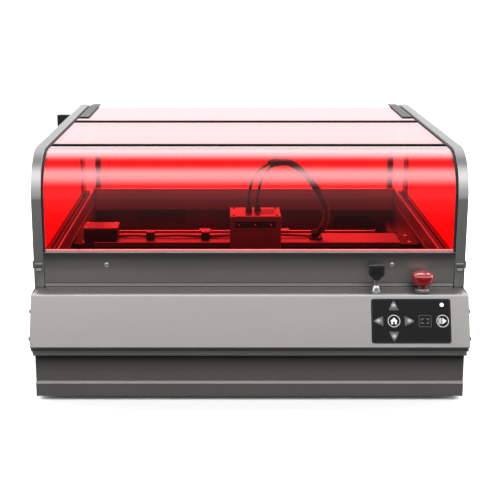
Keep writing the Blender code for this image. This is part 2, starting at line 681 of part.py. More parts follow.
# ---------------------------------------------------------------- gantry and laser head
def gantry():
    joint_empty("gantry", (0, 0, GANTRY_LOW))
    wall = GANTRY_WALL
    slot_low, slot_top = 0.130, 0.142
    outline = [
        (BEAM_FRONT_Y, GANTRY_LOW), (BEAM_BACK_Y, GANTRY_LOW), (BEAM_BACK_Y, GANTRY_TOP),
        (BEAM_FRONT_Y, GANTRY_TOP), (BEAM_FRONT_Y, slot_top), (BEAM_FRONT_Y + wall, slot_top),
        (BEAM_FRONT_Y + wall, GANTRY_TOP - wall), (BEAM_BACK_Y - wall, GANTRY_TOP - wall),
        (BEAM_BACK_Y - wall, GANTRY_LOW + wall), (BEAM_FRONT_Y + wall, GANTRY_LOW + wall),
        (BEAM_FRONT_Y + wall, slot_low), (BEAM_FRONT_Y, slot_low),
    ]
    beam = section("gantry_beam", outline, -GANTRY_HALF, GANTRY_HALF)
    cut(beam, rod("x_motor_hole", 0.005, 0.02, (*X_PULLEY, GANTRY_TOP), collection=CUTTERS))
    carry(beam, "anodised_grey", "gantry")

    for side, sign in SIDES.items():
        x0, x1 = sorted((sign * (GANTRY_HALF + GAP), sign * 0.262))
        end = block(f"gantry_end_{side}", (x0, -0.048, 0.119), (x1, 0.016, 0.148))
        x2, x3 = sorted((sign * 0.2338, sign * 0.2392))
        clamp = (x2, -0.030, SHAFT_Z + BELT_OUT + GAP), (x3, 0.0, 0.125)
        join(end, block(f"belt_clamp_{side}", *clamp, CUTTERS))
        carry(soften(end, 0.001), "black_plastic", "gantry")

    motor = block("x_motor", (-0.248, BEAM_FRONT_Y, GANTRY_TOP + GAP), (-0.195, -0.005, 0.172))
    carry(soften(motor, 0.0015), "black_plastic", "gantry")
    loops = [stadium(X_PULLEY[0], -X_PULLEY[0], X_PULLEY[1], r) for r in (BELT_OUT, BELT_IN)]
    carry(prism("x_belt", loops, BELT_WIDTH, (0, 0, 0.136), UPRIGHT), "rubber", "gantry")

    joint_empty("x_pulley", (*X_PULLEY, 0.136))
    carry(turned("x_pulley", pulley_profile(0.0138), (*X_PULLEY, 0.136), steps=16), "bare_steel", "x_pulley")


def pulley_profile(shaft_top, flange=0.0085):
    """A flanged belt pulley with a shaft stub above it, about the middle of the belt."""
    half = BELT_WIDTH / 2 + GAP
    return [
        (0, shaft_top), (0.0025, shaft_top), (0.0025, half + 0.0015), (flange, half + 0.0015),
        (flange, half), (PULLEY_R, half), (PULLEY_R, -half), (flange, -half), (flange, -half - 0.0015),
        (0, -half - 0.0015),
    ]


def y_shaft():
    """One shaft right across, with a flanged pulley at each end."""
    joint_empty("y_shaft", (0, SHAFT_Y, SHAFT_Z))
    half, flange = BELT_WIDTH / 2 + GAP, 0.0085
    inner, outer = Y_BELT_X - half, Y_BELT_X + half
    thick, core = 0.0010, 0.004
    side = [
        (0, outer + thick), (flange, outer + thick), (flange, outer), (PULLEY_R, outer),
        (PULLEY_R, inner), (flange, inner), (flange, inner - thick), (core, inner - thick),
    ]
    profile = side + [(r, -z) for r, z in reversed(side)]
    carry(turned("y_shaft", profile, (0, SHAFT_Y, SHAFT_Z), ACROSS, 16), "bare_steel", "y_shaft")


def laser_head():
    joint_empty("carriage", (HEAD_MID, HEAD_BACK, GANTRY_LOW))
    outline = [
        (-0.0493, 0.1120), (-0.0453, 0.1120), (-0.0453, 0.1303), (-0.0420, 0.1303), (-0.0420, 0.1270),
        (-0.0390, 0.1270), (-0.0390, 0.1333), (-0.0331, 0.1333), (-0.0331, 0.1387), (-0.0390, 0.1387),
        (-0.0390, 0.1450), (-0.0420, 0.1450), (-0.0420, 0.1417), (-0.0453, 0.1417), (-0.0453, 0.1600),
        (-0.0493, 0.1600),
    ]
    plate = section("carriage_plate", outline, HEAD_LEFT + 0.006, HEAD_RIGHT - 0.006)
    carry(plate, "black_plastic", "carriage")

    housing = block("laser_housing", (HEAD_LEFT, HEAD_FRONT, HEAD_LOW), (HEAD_RIGHT, HEAD_BACK, HEAD_TOP))
    soften(housing, 0.0015, 2)
    wall = 0.002
    low = (HEAD_LEFT + wall, HEAD_FRONT + wall, HEAD_LOW - 0.01)
    high = (HEAD_RIGHT - wall, HEAD_BACK - wall, HEAD_TOP - wall)
    cut(housing, block("housing_hollow", low, high, CUTTERS))
    for index in range(5):
        y = HEAD_FRONT + 0.014 + index * 0.0065
        vent = block(f"housing_vent_{index}", (HEAD_MID + 0.006, y, HEAD_TOP - 0.01),
                     (HEAD_RIGHT - 0.008, y + 0.003, HEAD_TOP + 0.01), CUTTERS)
        cut(housing, vent)
    carry(housing, "head_grey", "carriage")

    middle_y = (HEAD_FRONT + HEAD_BACK) / 2
    module = block("laser_module", (HEAD_MID - 0.0290, HEAD_FRONT + 0.008, 0.086),
                   (HEAD_MID + 0.0290, HEAD_BACK - 0.008, 0.178))
    for index in range(5):
        x = HEAD_MID - 0.0225 + index * 0.0105
        low, high = (x, HEAD_FRONT, 0.112), (x + 0.003, HEAD_BACK, 0.19)
        cut(module, block(f"module_groove_{index}", low, high, CUTTERS))
    nozzle = [
        (0, 0.090), (0.011, 0.090), (0.011, 0.083), (0.0055, 0.0755), (0.0020, 0.0755), (0.0020, 0.0850),
        (0, 0.0850),
    ]
    join(module, turned("laser_nozzle", nozzle, (HEAD_MID, middle_y, 0), steps=20, collection=CUTTERS))
    carry(module, "head_grey", "carriage")


CABLE_R = 0.0055
CABLE_ROUTE = (
    (0.0090, -0.078, HEAD_TOP + GAP), (0.0100, -0.077, 0.228), (0.0170, -0.073, 0.256),
    (0.0370, -0.067, 0.2750), (0.0640, -0.058, 0.2730), (0.0910, -0.047, 0.2490),
    (0.1120, -0.036, 0.2180), (0.1210, -0.027, 0.1900), (0.1170, -0.020, 0.1680),
    (0.1060, -0.016, GANTRY_TOP + GAP + CABLE_R),
)


def smooth_path(points, count):
    """Evenly spaced points on a smooth curve through the given ones."""
    anchors = [Vector(p) for p in points]
    padded = [anchors[0] * 2 - anchors[1], *anchors, anchors[-1] * 2 - anchors[-2]]
    found = []
    for i in range(len(anchors) - 1):
        p0, p1, p2, p3 = padded[i:i + 4]
        for step in range(12):
            t = step / 12
            found.append(0.5 * (2 * p1 + (p2 - p0) * t + (2 * p0 - 5 * p1 + 4 * p2 - p3) * t ** 2
                                + (3 * p1 - p0 - 3 * p2 + p3) * t ** 3))
    found.append(anchors[-1])
    stride = (len(found) - 1) / (count - 1)
    return [found[round(i * stride)] for i in range(count)]


def head_cable():
    """The cable from the laser head's top to the gantry beam, in one piece."""
    curve = bpy.data.curves.new("head_cable", "CURVE")
    curve.dimensions = "3D"
    curve.bevel_depth = CABLE_R
    curve.bevel_resolution = 2
    curve.use_fill_caps = True
    path = smooth_path(CABLE_ROUTE, 22)
    spline = curve.splines.new("POLY")
    spline.points.add(len(path) - 1)
    for point, place in zip(spline.points, path):
        point.co = (*place, 1)
    curve.materials.append(FINISH["rubber"])
    cable = bpy.data.objects.new("head_cable", curve)
    PARTS.objects.link(cable)
    cable.parent = JOINTS["gantry"]
    cable.matrix_parent_inverse = Matrix.Translation(-JOINTS["gantry"].location)


# ---------------------------------------------------------------- lid
def arm_corner(inset):
    """The arms' upper front corner in (Y, Z), moved inwards by inset."""
    return arc((LID_FRONT + LID_CORNER, LID_TOP - LID_CORNER), LID_CORNER - inset, 180, 90, 10)


def window_outline(inset):
    """The arms' window in (Y, Z), with a round lower front corner."""
    foot = 0.008
    low = LID_BOTTOM + inset * 1.3
    points = arc((LID_FRONT + inset + foot, low + foot), foot, 270, 180, 3) + arm_corner(inset)
    back = WINDOW_BACK - (inset - LID_BAND)
    return points + [(back, LID_TOP - inset), (back, low)]


def foot_outline():
    """The tongue at an arm's front, which stands in a notch of the front beam."""
    round_off = 0.004
    points = [(FOOT_BACK, LID_BOTTOM)]
    points += arc((FOOT_BACK - round_off, FOOT_LOW + round_off), round_off, 0, -90, 3)
    return points + arc((LID_FRONT + round_off, FOOT_LOW + round_off), round_off, 270, 180, 3)


def lid_arms():
    for side, sign in SIDES.items():
        outer = foot_outline() + arm_corner(0) + arc((HINGE_Y, HINGE_Z), HINGE_R, 90, -90, 10)
        outer += [(0.262, HINGE_Z - HINGE_R), (0.262, LID_BOTTOM + 0.008), (0.254, LID_BOTTOM)]
        bore = arc((HINGE_Y, HINGE_Z), PIN_R + GAP, 0, 345, 23)
        x0, x1 = sorted((sign * LID_IN, sign * LID_OUT))
        arm = section(f"lid_arm_{side}", [outer, window_outline(LID_BAND), bore], x0, x1)
        x2, x3 = sorted((sign * (LID_IN - 0.001), sign * (LID_OUT - LEG)))
        cut(arm, block(f"leg_relief_{side}", (x2, WINDOW_BACK - 0.0007, 0.169), (x3, 0.263, 0.2735), CUTTERS))
        carry(arm, "lid_silver", "lid")

        x4, x5 = sorted((sign * SIDE_PANEL_X, sign * (SIDE_PANEL_X + ACRYLIC)))
        carry(section(f"side_panel_{side}", window_outline(LID_BAND + GAP), x4, x5), "red_acrylic", "lid")


def lid_shell():
    span = LID_IN - GAP
    back = DECK_BACK - 0.0005
    rail = [
        (LID_FRONT, RAIL_LOW), (LID_FRONT, RAIL_TOP), (back, RAIL_TOP), (back, RAIL_TOP - SHEET),
        (LID_FRONT + SHEET, RAIL_TOP - SHEET), (LID_FRONT + SHEET, RAIL_LOW + SHEET),
        (back, RAIL_LOW + SHEET), (back, RAIL_LOW),
    ]
    carry(section("lid_rail", rail, -span, span), "anodised_grey", "lid")

    inset = 0.002
    corner = (LID_FRONT + LID_CORNER, LID_TOP - LID_CORNER)
    seam = SEAM_FRONT - SEAM / 2 - GAP
    outer = [(LID_FRONT + inset, RAIL_TOP + GAP)] + arc(corner, LID_CORNER - inset, 180, 90, 14)
    outer.append((seam, PANEL_TOP))
    inner = [(seam, PANEL_TOP - ACRYLIC)] + arc(corner, LID_CORNER - inset - ACRYLIC, 90, 180, 14)
    inner += [(LID_FRONT + inset + ACRYLIC, RAIL_TOP + GAP)]
    carry(section("front_shield", outer + inner, -span, span), "red_acrylic", "lid")

    under = PANEL_TOP - ACRYLIC - GAP
    for name, y in (("crossbar_front", SEAM_FRONT), ("crossbar_rear", SEAM_REAR)):
        tee = [
            (y - 0.008, under - 0.008), (y + 0.008, under - 0.008), (y + 0.008, under), (y + SEAM / 2, under),
            (y + SEAM / 2, PANEL_TOP - 0.0005), (y - SEAM / 2, PANEL_TOP - 0.0005), (y - SEAM / 2, under),
            (y - 0.008, under),
        ]
        carry(section(name, tee, -span, span), "black_plastic", "lid")

    edge = SEAM / 2 + GAP
    spans = (
        ("top_panel_front", SEAM_FRONT + edge, SEAM_REAR - edge),
        ("top_panel_rear", SEAM_REAR + edge, PANEL_BACK),
    )
    for name, y0, y1 in spans:
        panel = block(name, (-span, y0, PANEL_TOP - ACRYLIC), (span, y1, PANEL_TOP))
        carry(panel, "red_acrylic", "lid")


def hinge_damper():
    """The rotary damper on the outside of the left arm, which the left hinge pin runs into."""
    damper = block("hinge_damper", (-0.3285, 0.268, 0.274), (-LID_OUT - GAP, 0.298, 0.302))
    soften(damper, 0.002, 2)
    bore = rod("damper_bore", PIN_R + GAP, 0.05, (-0.281, HINGE_Y, HINGE_Z), ACROSS, 16, CUTTERS)
    carry(cut(damper, bore), "black_plastic", "lid")


# ---------------------------------------------------------------- the whole machine
def build():
    joint_empty("lid", (0, HINGE_Y, HINGE_Z))
    front_beam()
    for side, sign in SIDES.items():
        side_wall(side, sign)
        hinge_post(side, sign)
    rear_beam()
    rear_panel()
    base_pan()
    feet()
    y_rails()
    y_belts()
    y_motor()
    controller_board()
    power_inlet()
    rocker()
    exhaust()
    rear_window()
    control_panel()
    key_switch()
    stop_button()
    drawer()
    gantry()
    y_shaft()
    laser_head()
    head_cable()
    lid_arms()
    lid_shell()
    hinge_damper()


build()
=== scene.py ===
"""The looks of an enclosed desktop laser engraver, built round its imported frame: materials, fine
geometry, a pale floor, soft studio light and a camera. Metres, in the frame's own coordinates."""

import json
import math

import bmesh
import bpy
from mathutils import Euler, Matrix, Vector


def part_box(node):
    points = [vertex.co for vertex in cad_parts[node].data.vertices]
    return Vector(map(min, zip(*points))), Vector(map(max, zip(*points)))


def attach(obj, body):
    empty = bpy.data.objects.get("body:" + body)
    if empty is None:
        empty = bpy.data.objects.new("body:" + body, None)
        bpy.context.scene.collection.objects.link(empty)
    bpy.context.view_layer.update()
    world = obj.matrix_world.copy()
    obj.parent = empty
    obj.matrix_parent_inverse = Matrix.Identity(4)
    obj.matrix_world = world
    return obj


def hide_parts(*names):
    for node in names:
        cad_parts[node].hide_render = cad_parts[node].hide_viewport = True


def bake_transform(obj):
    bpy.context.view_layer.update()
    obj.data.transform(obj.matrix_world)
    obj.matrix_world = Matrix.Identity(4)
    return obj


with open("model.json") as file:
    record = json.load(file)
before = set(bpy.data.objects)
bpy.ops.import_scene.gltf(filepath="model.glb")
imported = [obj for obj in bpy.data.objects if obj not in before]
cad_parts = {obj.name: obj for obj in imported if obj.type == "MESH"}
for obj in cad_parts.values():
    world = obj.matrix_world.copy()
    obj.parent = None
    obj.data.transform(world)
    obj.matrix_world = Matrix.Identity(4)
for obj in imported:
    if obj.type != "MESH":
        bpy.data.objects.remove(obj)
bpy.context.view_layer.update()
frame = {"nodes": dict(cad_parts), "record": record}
SIDES = {"left": -1, "right": 1}
BOTH = (-1, 1)
RIGHT, BACK, UP = Vector((1, 0, 0)), Vector((0, 1, 0)), Vector((0, 0, 1))
FRONT = -BACK
BODY_OF = {node: body for body, nodes in frame["record"]["behaviour"]["bodies"].items() for node in nodes}
SLOT_OF = {part["node"]: part["material_slot"] for part in frame["record"]["subparts"]}

beam_low, beam_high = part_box("front_beam")
MIDDLE_X = (beam_low.x + beam_high.x) / 2  # the middle of the machine without its lid damper
BODY_HALF = 0.284  # outer faces of the beam and the side walls
PAN_HALF = 0.280
REAR_FACE = 0.2893  # outer face of the rear panel
CHAMBER_TOP = 0.173  # top of the side walls
LID_BOTTOM = 0.1415  # lower edge of the arms behind their front tongues
HINGE = (0.283, 0.297)


def at(x, y, z):
    """A point given from the machine's middle plane."""
    return Vector((x + MIDDLE_X, y, z))


# ---------------------------------------------------------------- materials
def feed(tree, made, sockets):
    """Gives each named socket of a shader node a value, or another node's output."""
    for key, value in sockets.items():
        if isinstance(value, bpy.types.NodeSocket):
            tree.links.new(value, made.inputs[key])
        else:
            made.inputs[key].default_value = value


def node(tree, kind, sockets=None, **settings):
    """Adds a shader node, with its sockets fed."""
    made = tree.nodes.new("ShaderNode" + kind)
    for key, value in settings.items():
        setattr(made, key, value)
    feed(tree, made, sockets or {})
    return made


def ramp(tree, factor, stops):
    """A colour ramp with (position, grey) stops."""
    made = node(tree, "ValToRGB", {"Fac": factor})
    elements = made.color_ramp.elements
    while len(elements) < len(stops):
        elements.new(0.5)
    for element, (position, grey) in zip(elements, stops):
        element.position = position
        element.color = (grey, grey, grey, 1.0)
    return made.outputs["Color"]


def between(tree, factor, low, high):
    """A number that goes from low to high with a factor from 0 to 1."""
    made = node(tree, "MapRange", {"Value": factor, "To Min": low, "To Max": high})
    return made.outputs["Result"]


def noise(tree, vector, scale, detail=2.0, roughness=0.5):
    sockets = {"Vector": vector, "Scale": scale, "Detail": detail, "Roughness": roughness}
    return node(tree, "TexNoise", sockets).outputs["Fac"]


def mixed(tree, factor, low, high, blend="MIX"):
    """A mix of two colours."""
    made = node(tree, "Mix", {"Factor": factor}, data_type="RGBA", blend_type=blend)
    for socket, value in ((6, low), (7, high)):
        feed(tree, made, {socket: value if isinstance(value, bpy.types.NodeSocket) else (*value, 1.0)})
    return made.outputs[2]


def new_material(name):
    made = bpy.data.materials.new(name)
    made.use_nodes = True
    tree = made.node_tree
    return made, tree, tree.nodes["Principled BSDF"]


def scaled(colour, factor):
    return tuple(min(1.0, c * factor) for c in colour)


RELIEF = 0.0001  # height of the fine relief in every surface


def finish(name, colour, rough, metal=0.0, vary=0.10, grain=1500.0, bump=0.12, spread=0.07,
           stretch=(1, 1, 1), worn=0.0, fade=(), fade_by="Object", **sockets):
    """A surface with broad and fine colour variation, uneven gloss, a fine relief and a painted highlight
    that lightens its convex edges. A list of (height, level) stops darkens the colour as painted shade,
    or, read by the normal, of (upward part of the normal, level)."""
    made, tree, shader = new_material(name)
    place = node(tree, "TexCoord").outputs["Object"]
    laid = node(tree, "Mapping", {"Vector": place, "Scale": stretch}).outputs["Vector"]
    broad = noise(tree, place, 7.0, 4.0, 0.6)
    fine = noise(tree, laid, grain, 3.0, 0.65)
    shade = mixed(tree, broad, scaled(colour, 1 - vary), scaled(colour, 1 + vary))
    shade = mixed(tree, between(tree, fine, 0.0, 0.35), shade, scaled(colour, 1 - 1.6 * vary))
    # painted highlight: edges that pointiness finds convex are lightened towards a brighter copy of the
    # colour
    if worn:
        edge = node(tree, "NewGeometry").outputs["Pointiness"]
        edge = node(tree, "MapRange", {"Value": edge, "From Min": 0.505, "From Max": 0.56, "To Max": worn})
        shade = mixed(tree, edge.outputs["Result"], shade, scaled(colour, 1.9))
    # painted shade: the colour is darkened by height, or by the upward part of the normal
    if fade:
        foot, reach = fade[0][0], fade[-1][0] - fade[0][0]
        up = node(tree, "SeparateXYZ", {"Vector": node(tree, "TexCoord").outputs[fade_by]}).outputs["Z"]
        share = node(tree, "MapRange", {"Value": up, "From Min": foot, "From Max": foot + reach})
        dark = ramp(tree, share.outputs["Result"], [((z - foot) / reach, level) for z, level in fade])
        shade = mixed(tree, 1.0, shade, dark, "MULTIPLY")
    uneven = node(tree, "Math", {0: broad, 1: fine, 2: 0.25}, operation="MULTIPLY_ADD").outputs[0]
    relief = node(tree, "Bump", {"Height": fine, "Strength": bump, "Distance": RELIEF})
    feed(tree, shader, {"Base Color": shade, "Normal": relief.outputs["Normal"], "Metallic": metal,
                        "Roughness": between(tree, uneven, rough - spread, rough + spread)})
    feed(tree, shader, {key.replace("_", " "): value for key, value in sockets.items()})
    return made


STRAIGHT_ON = 0.04  # how much of the light acrylic mirrors straight on


def acrylic(name, tint, gain, mirror, sheen):
    """Tinted see-through acrylic: each face passes its tint and mirrors more at a low angle."""
    made, tree, shader = new_material(name)
    tree.nodes.remove(shader)
    place = node(tree, "TexCoord").outputs["Object"]
    haze = noise(tree, place, 14.0, 5.0, 0.7)
    colour = mixed(tree, haze, tint, scaled(tint, 0.93))
    clear = node(tree, "BsdfTransparent", {"Color": colour})
    laid = node(tree, "Mapping", {"Vector": place, "Scale": (3, 40, 40)}).outputs["Vector"]
    rough = between(tree, noise(tree, laid, 12.0, 3.0), 0.03, 0.09)
    gloss = node(tree, "BsdfAnisotropic", {"Color": (*sheen, 1), "Roughness": rough})
    facing = node(tree, "LayerWeight", {"Blend": 0.5}).outputs["Facing"]
    steep = node(tree, "Math", {0: facing, 1: 5.0}, operation="POWER")
    sockets = {0: steep.outputs[0], 1: mirror, 2: STRAIGHT_ON * gain}
    share = node(tree, "Math", sockets, operation="MULTIPLY_ADD", use_clamp=True)
    mix = node(tree, "MixShader", {0: share.outputs[0], 1: clear.outputs[0], 2: gloss.outputs[0]})
    feed(tree, tree.nodes["Material Output"], {"Surface": mix.outputs[0]})
    return made


def glow_key(name):
    """A backlit printed arrow, bright in the middle and grey at its points."""
    made, tree, shader = new_material(name)
    place = node(tree, "TexCoord").outputs["Generated"]
    reach = node(tree, "VectorMath", {0: place, 1: (0.5, 0.5, 0.5)}, operation="DISTANCE").outputs["Value"]
    shade = ramp(tree, reach, ((0.0, 0.85), (0.11, 0.45), (0.25, 0.14), (0.45, 0.05)))
    feed(tree, shader, {"Base Color": shade, "Emission Color": shade, "Emission Strength": 0.25,
                        "Roughness": 0.4})
    return made


def circuit_board(name):
    """Green lacquer over copper tracks."""
    made, tree, shader = new_material(name)
    place = node(tree, "TexCoord").outputs["Object"]
    cells = node(tree, "TexBrick", {"Vector": place, "Scale": 140.0, "Mortar Size": 0.012,
                                    "Color1": (0.01, 0.10, 0.035, 1), "Color2": (0.012, 0.13, 0.05, 1),
                                    "Mortar": (0.05, 0.30, 0.10, 1)})
    relief = node(tree, "Bump", {"Height": cells.outputs["Fac"], "Strength": 0.3, "Distance": RELIEF})
    feed(tree, shader, {"Base Color": cells.outputs["Color"], "Normal": relief.outputs["Normal"],
                        "Roughness": 0.35})
    return made


ACRYLIC_TINT = (1.0, 0.150, 0.165)  # through one surface
ANODISED = (0.2226, 0.2184, 0.21)
# painted shade and light, as levels that darken the colour with height in metres, or in ARM_SHADE with the
# upward part of the normal: painted shade in the beam's grooves and painted highlight on its ridge bands,
# which at level 1 stand out against the face's 0.667; painted reflection on the rail, darker towards its
# top; painted shadow on the drawer front under the beam; painted shade on the rear beam's lower part;
# painted reflection on the arms, darker where they face straight ahead or up
GROOVE_SHADE_AND_HIGHLIGHT = ((0.0633, 0.17), (0.0642, 0.17), (0.0650, 1), (0.0712, 1), (0.0718, 0.42), (0.075, 0.37),
                (0.0758, 0.667))
RAIL_SHADE = ((0.145, 0.62), (0.150, 0.75), (0.1553, 0.84), (0.1607, 1), (0.166, 0.88), (0.1715, 0.80),
              (0.1755, 0.67), (0.1796, 0.43), (0.1836, 0.35), (0.187, 0.30))
DRAWER_SHADE = ((0.0326, 1), (0.038, 0.95), (0.0438, 0.78), (0.0494, 0.62), (0.055, 0.5), (0.0605, 0.36))
REAR_SHADE = ((0.135, 0.55), (0.155, 0.62), (0.166, 1))
ARM_SHADE = ((0, 0.44), (0.03, 0.9), (0.1, 1), (0.25, 0.9), (0.4, 0.65), (0.5, 0.54), (0.65, 0.5),
             (0.8, 0.33), (0.93, 0.15), (1, 0.06))
# the edge value in these settings lightens convex edges as a painted highlight
ANODISING = {"metal": 1.0, "vary": 0.06, "grain": 2600, "worn": 0.25}
POWDER = {"metal": 0.35, "grain": 1300, "bump": 0.25}
BLACK = {"vary": 0.2, "bump": 0.3}
PRINT = {"vary": 0.08, "grain": 2000, "bump": 0.05}
SURFACES = {  # colour, roughness, and what differs from a plain dull surface
    "anodised": (ANODISED, 0.40, {**ANODISING, "vary": 0.05}),
    # painted shade in the grooves under the beam's lip and painted highlight on its ridge bands: the colour
    # is raised by half so bands at level 1 stand out against the face
    "anodised_beam": (scaled(ANODISED, 1.5), 0.40, {**ANODISING, "vary": 0.05, "fade": GROOVE_SHADE_AND_HIGHLIGHT}),
    # painted reflection: the rail darkens towards its top, and a little towards its foot
    "anodised_rail": ((0.345, 0.338, 0.325), 0.40,
                      {**ANODISING, "vary": 0.05, "worn": 0.1, "fade": RAIL_SHADE}),
    "anodised_side": ((0.29, 0.285, 0.275), 0.42, ANODISING),
    # painted light: the rear beam is three times lighter than the other anodising, with painted shade on its
    # lower part
    "anodised_painted_light": ((0.66, 0.645, 0.62), 0.42, {**ANODISING, "fade": REAR_SHADE}),
    "anodised_dark": ((0.22, 0.213, 0.205), 0.42, ANODISING),
    "trim_dim": ((0.13, 0.127, 0.123), 0.42, {**ANODISING, "worn": 0.1}),
    # painted reflection: the arms darken where their faces point straight ahead or up
    "arm_silver": ((0.50, 0.50, 0.493), 0.38, {"metal": 0.7, "vary": 0.05, "grain": 1900, "worn": 0.1,
                                               "fade": ARM_SHADE, "fade_by": "Normal"}),
    "satin_silver": ((0.44, 0.44, 0.435), 0.38, {"metal": 1.0, "vary": 0.05, "grain": 1900, "worn": 0.2}),
    # painted shadow under the beam's overhang, darkest at the drawer front's top; the colour is raised to
    # make up for it
    "drawer_dark": ((0.104, 0.100, 0.096), 0.48,
                    {**POWDER, "vary": 0.08, "worn": 0.1, "fade": DRAWER_SHADE}),
    "powder_dark": ((0.085, 0.082, 0.079), 0.48, {**POWDER, "worn": 0.15}),
    "black_plastic": ((0.016, 0.016, 0.017), 0.42, {"vary": 0.18, "grain": 1700, "bump": 0.25, "worn": 0.05,
                                                    "Specular_IOR_Level": 0.25}),
    "black_gloss": ((0.010, 0.010, 0.011), 0.16,
                    {"vary": 0.15, "grain": 600, "bump": 0.04, "Coat_Weight": 0.4}),
    "panel_film": ((0.012, 0.012, 0.013), 0.30, {"vary": 0.2, "grain": 2600, "Specular_IOR_Level": 0.05}),
    "chip_black": ((0.02, 0.02, 0.021), 0.4, {"vary": 0.2}),
    "rubber": ((0.018, 0.018, 0.018), 0.75,
               {**BLACK, "bump": 0.35, "grain": 1100, "Specular_IOR_Level": 0.15}),
    "cable_black": ((0.018, 0.017, 0.017), 0.5, {**BLACK, "grain": 1400}),
    "bright_steel": ((0.62, 0.62, 0.61), 0.22,
                     {"metal": 1.0, "vary": 0.06, "grain": 900, "stretch": (1, 1, 18)}),
    "rail_steel": ((0.52, 0.52, 0.53), 0.26,
                   {"metal": 1.0, "vary": 0.07, "grain": 900, "stretch": (18, 1, 18)}),
    "screw_steel": ((0.70, 0.70, 0.69), 0.2, {"metal": 1.0, "vary": 0.08}),
    "screw_black": ((0.035, 0.035, 0.036), 0.3, {"metal": 0.8, "vary": 0.15}),
    "bed_steel": ((0.34, 0.34, 0.35), 0.38,
                  {"metal": 1.0, "vary": 0.14, "grain": 420, "spread": 0.12, "worn": 0.2}),
    "head_grey": ((0.30, 0.30, 0.30), 0.28, {"metal": 0.9, "vary": 0.06, "grain": 2200, "worn": 0.3}),
    "stop_red": ((0.24, 0.004, 0.006), 0.16,
                 {"vary": 0.12, "grain": 500, "bump": 0.05, "Coat_Weight": 0.6}),
    "print_white": ((0.78, 0.78, 0.77), 0.45, {**PRINT, "vary": 0.05}),
    "print_dim": ((0.055, 0.056, 0.057), 0.45, PRINT),
    "print_grey": ((0.16, 0.17, 0.17), 0.45, PRINT),
    "led_white": ((0.9, 0.9, 0.9), 0.3,
                  {"vary": 0.04, "Emission_Color": (1, 1, 1, 1), "Emission_Strength": 0.9}),
    # a lighter opaque pink: painted highlight for the light caught in the acrylic's cut edge
    "acrylic_edge": ((0.62, 0.20, 0.20), 0.3, {"vary": 0.05, "grain": 900}),
}
FINISH = {name: finish(name, colour, rough, **settings)
          for name, (colour, rough, settings) in SURFACES.items()}
FINISH["glow_key"] = glow_key("glow_key")
FINISH["board"] = circuit_board("board")
FINISH["acrylic"] = acrylic("acrylic", ACRYLIC_TINT, 2.1, 0.9, (1, 0.83, 0.85))
FINISH["acrylic_side"] = acrylic("acrylic_side", ACRYLIC_TINT, 0.8, 0.12, (1, 0.88, 0.90))
USUAL_SLOT = {  # the CAD material a finish stands for, where the two names differ
    "anodised": "anodised_grey", "anodised_dark": "anodised_grey", "trim_dim": "anodised_grey",
    "satin_silver": "anodised_grey", "powder_dark": "dark_sheet", "black_gloss": "black_plastic",
    "chip_black": "black_plastic", "cable_black": "rubber", "bright_steel": "bare_steel",
    "screw_steel": "bare_steel", "screw_black": "bare_steel", "print_white": "key_white",
    "print_grey": "key_white", "led_white": "key_white", "print_dim": "panel_black",
    "acrylic": "red_acrylic", "acrylic_edge": "red_acrylic",
}


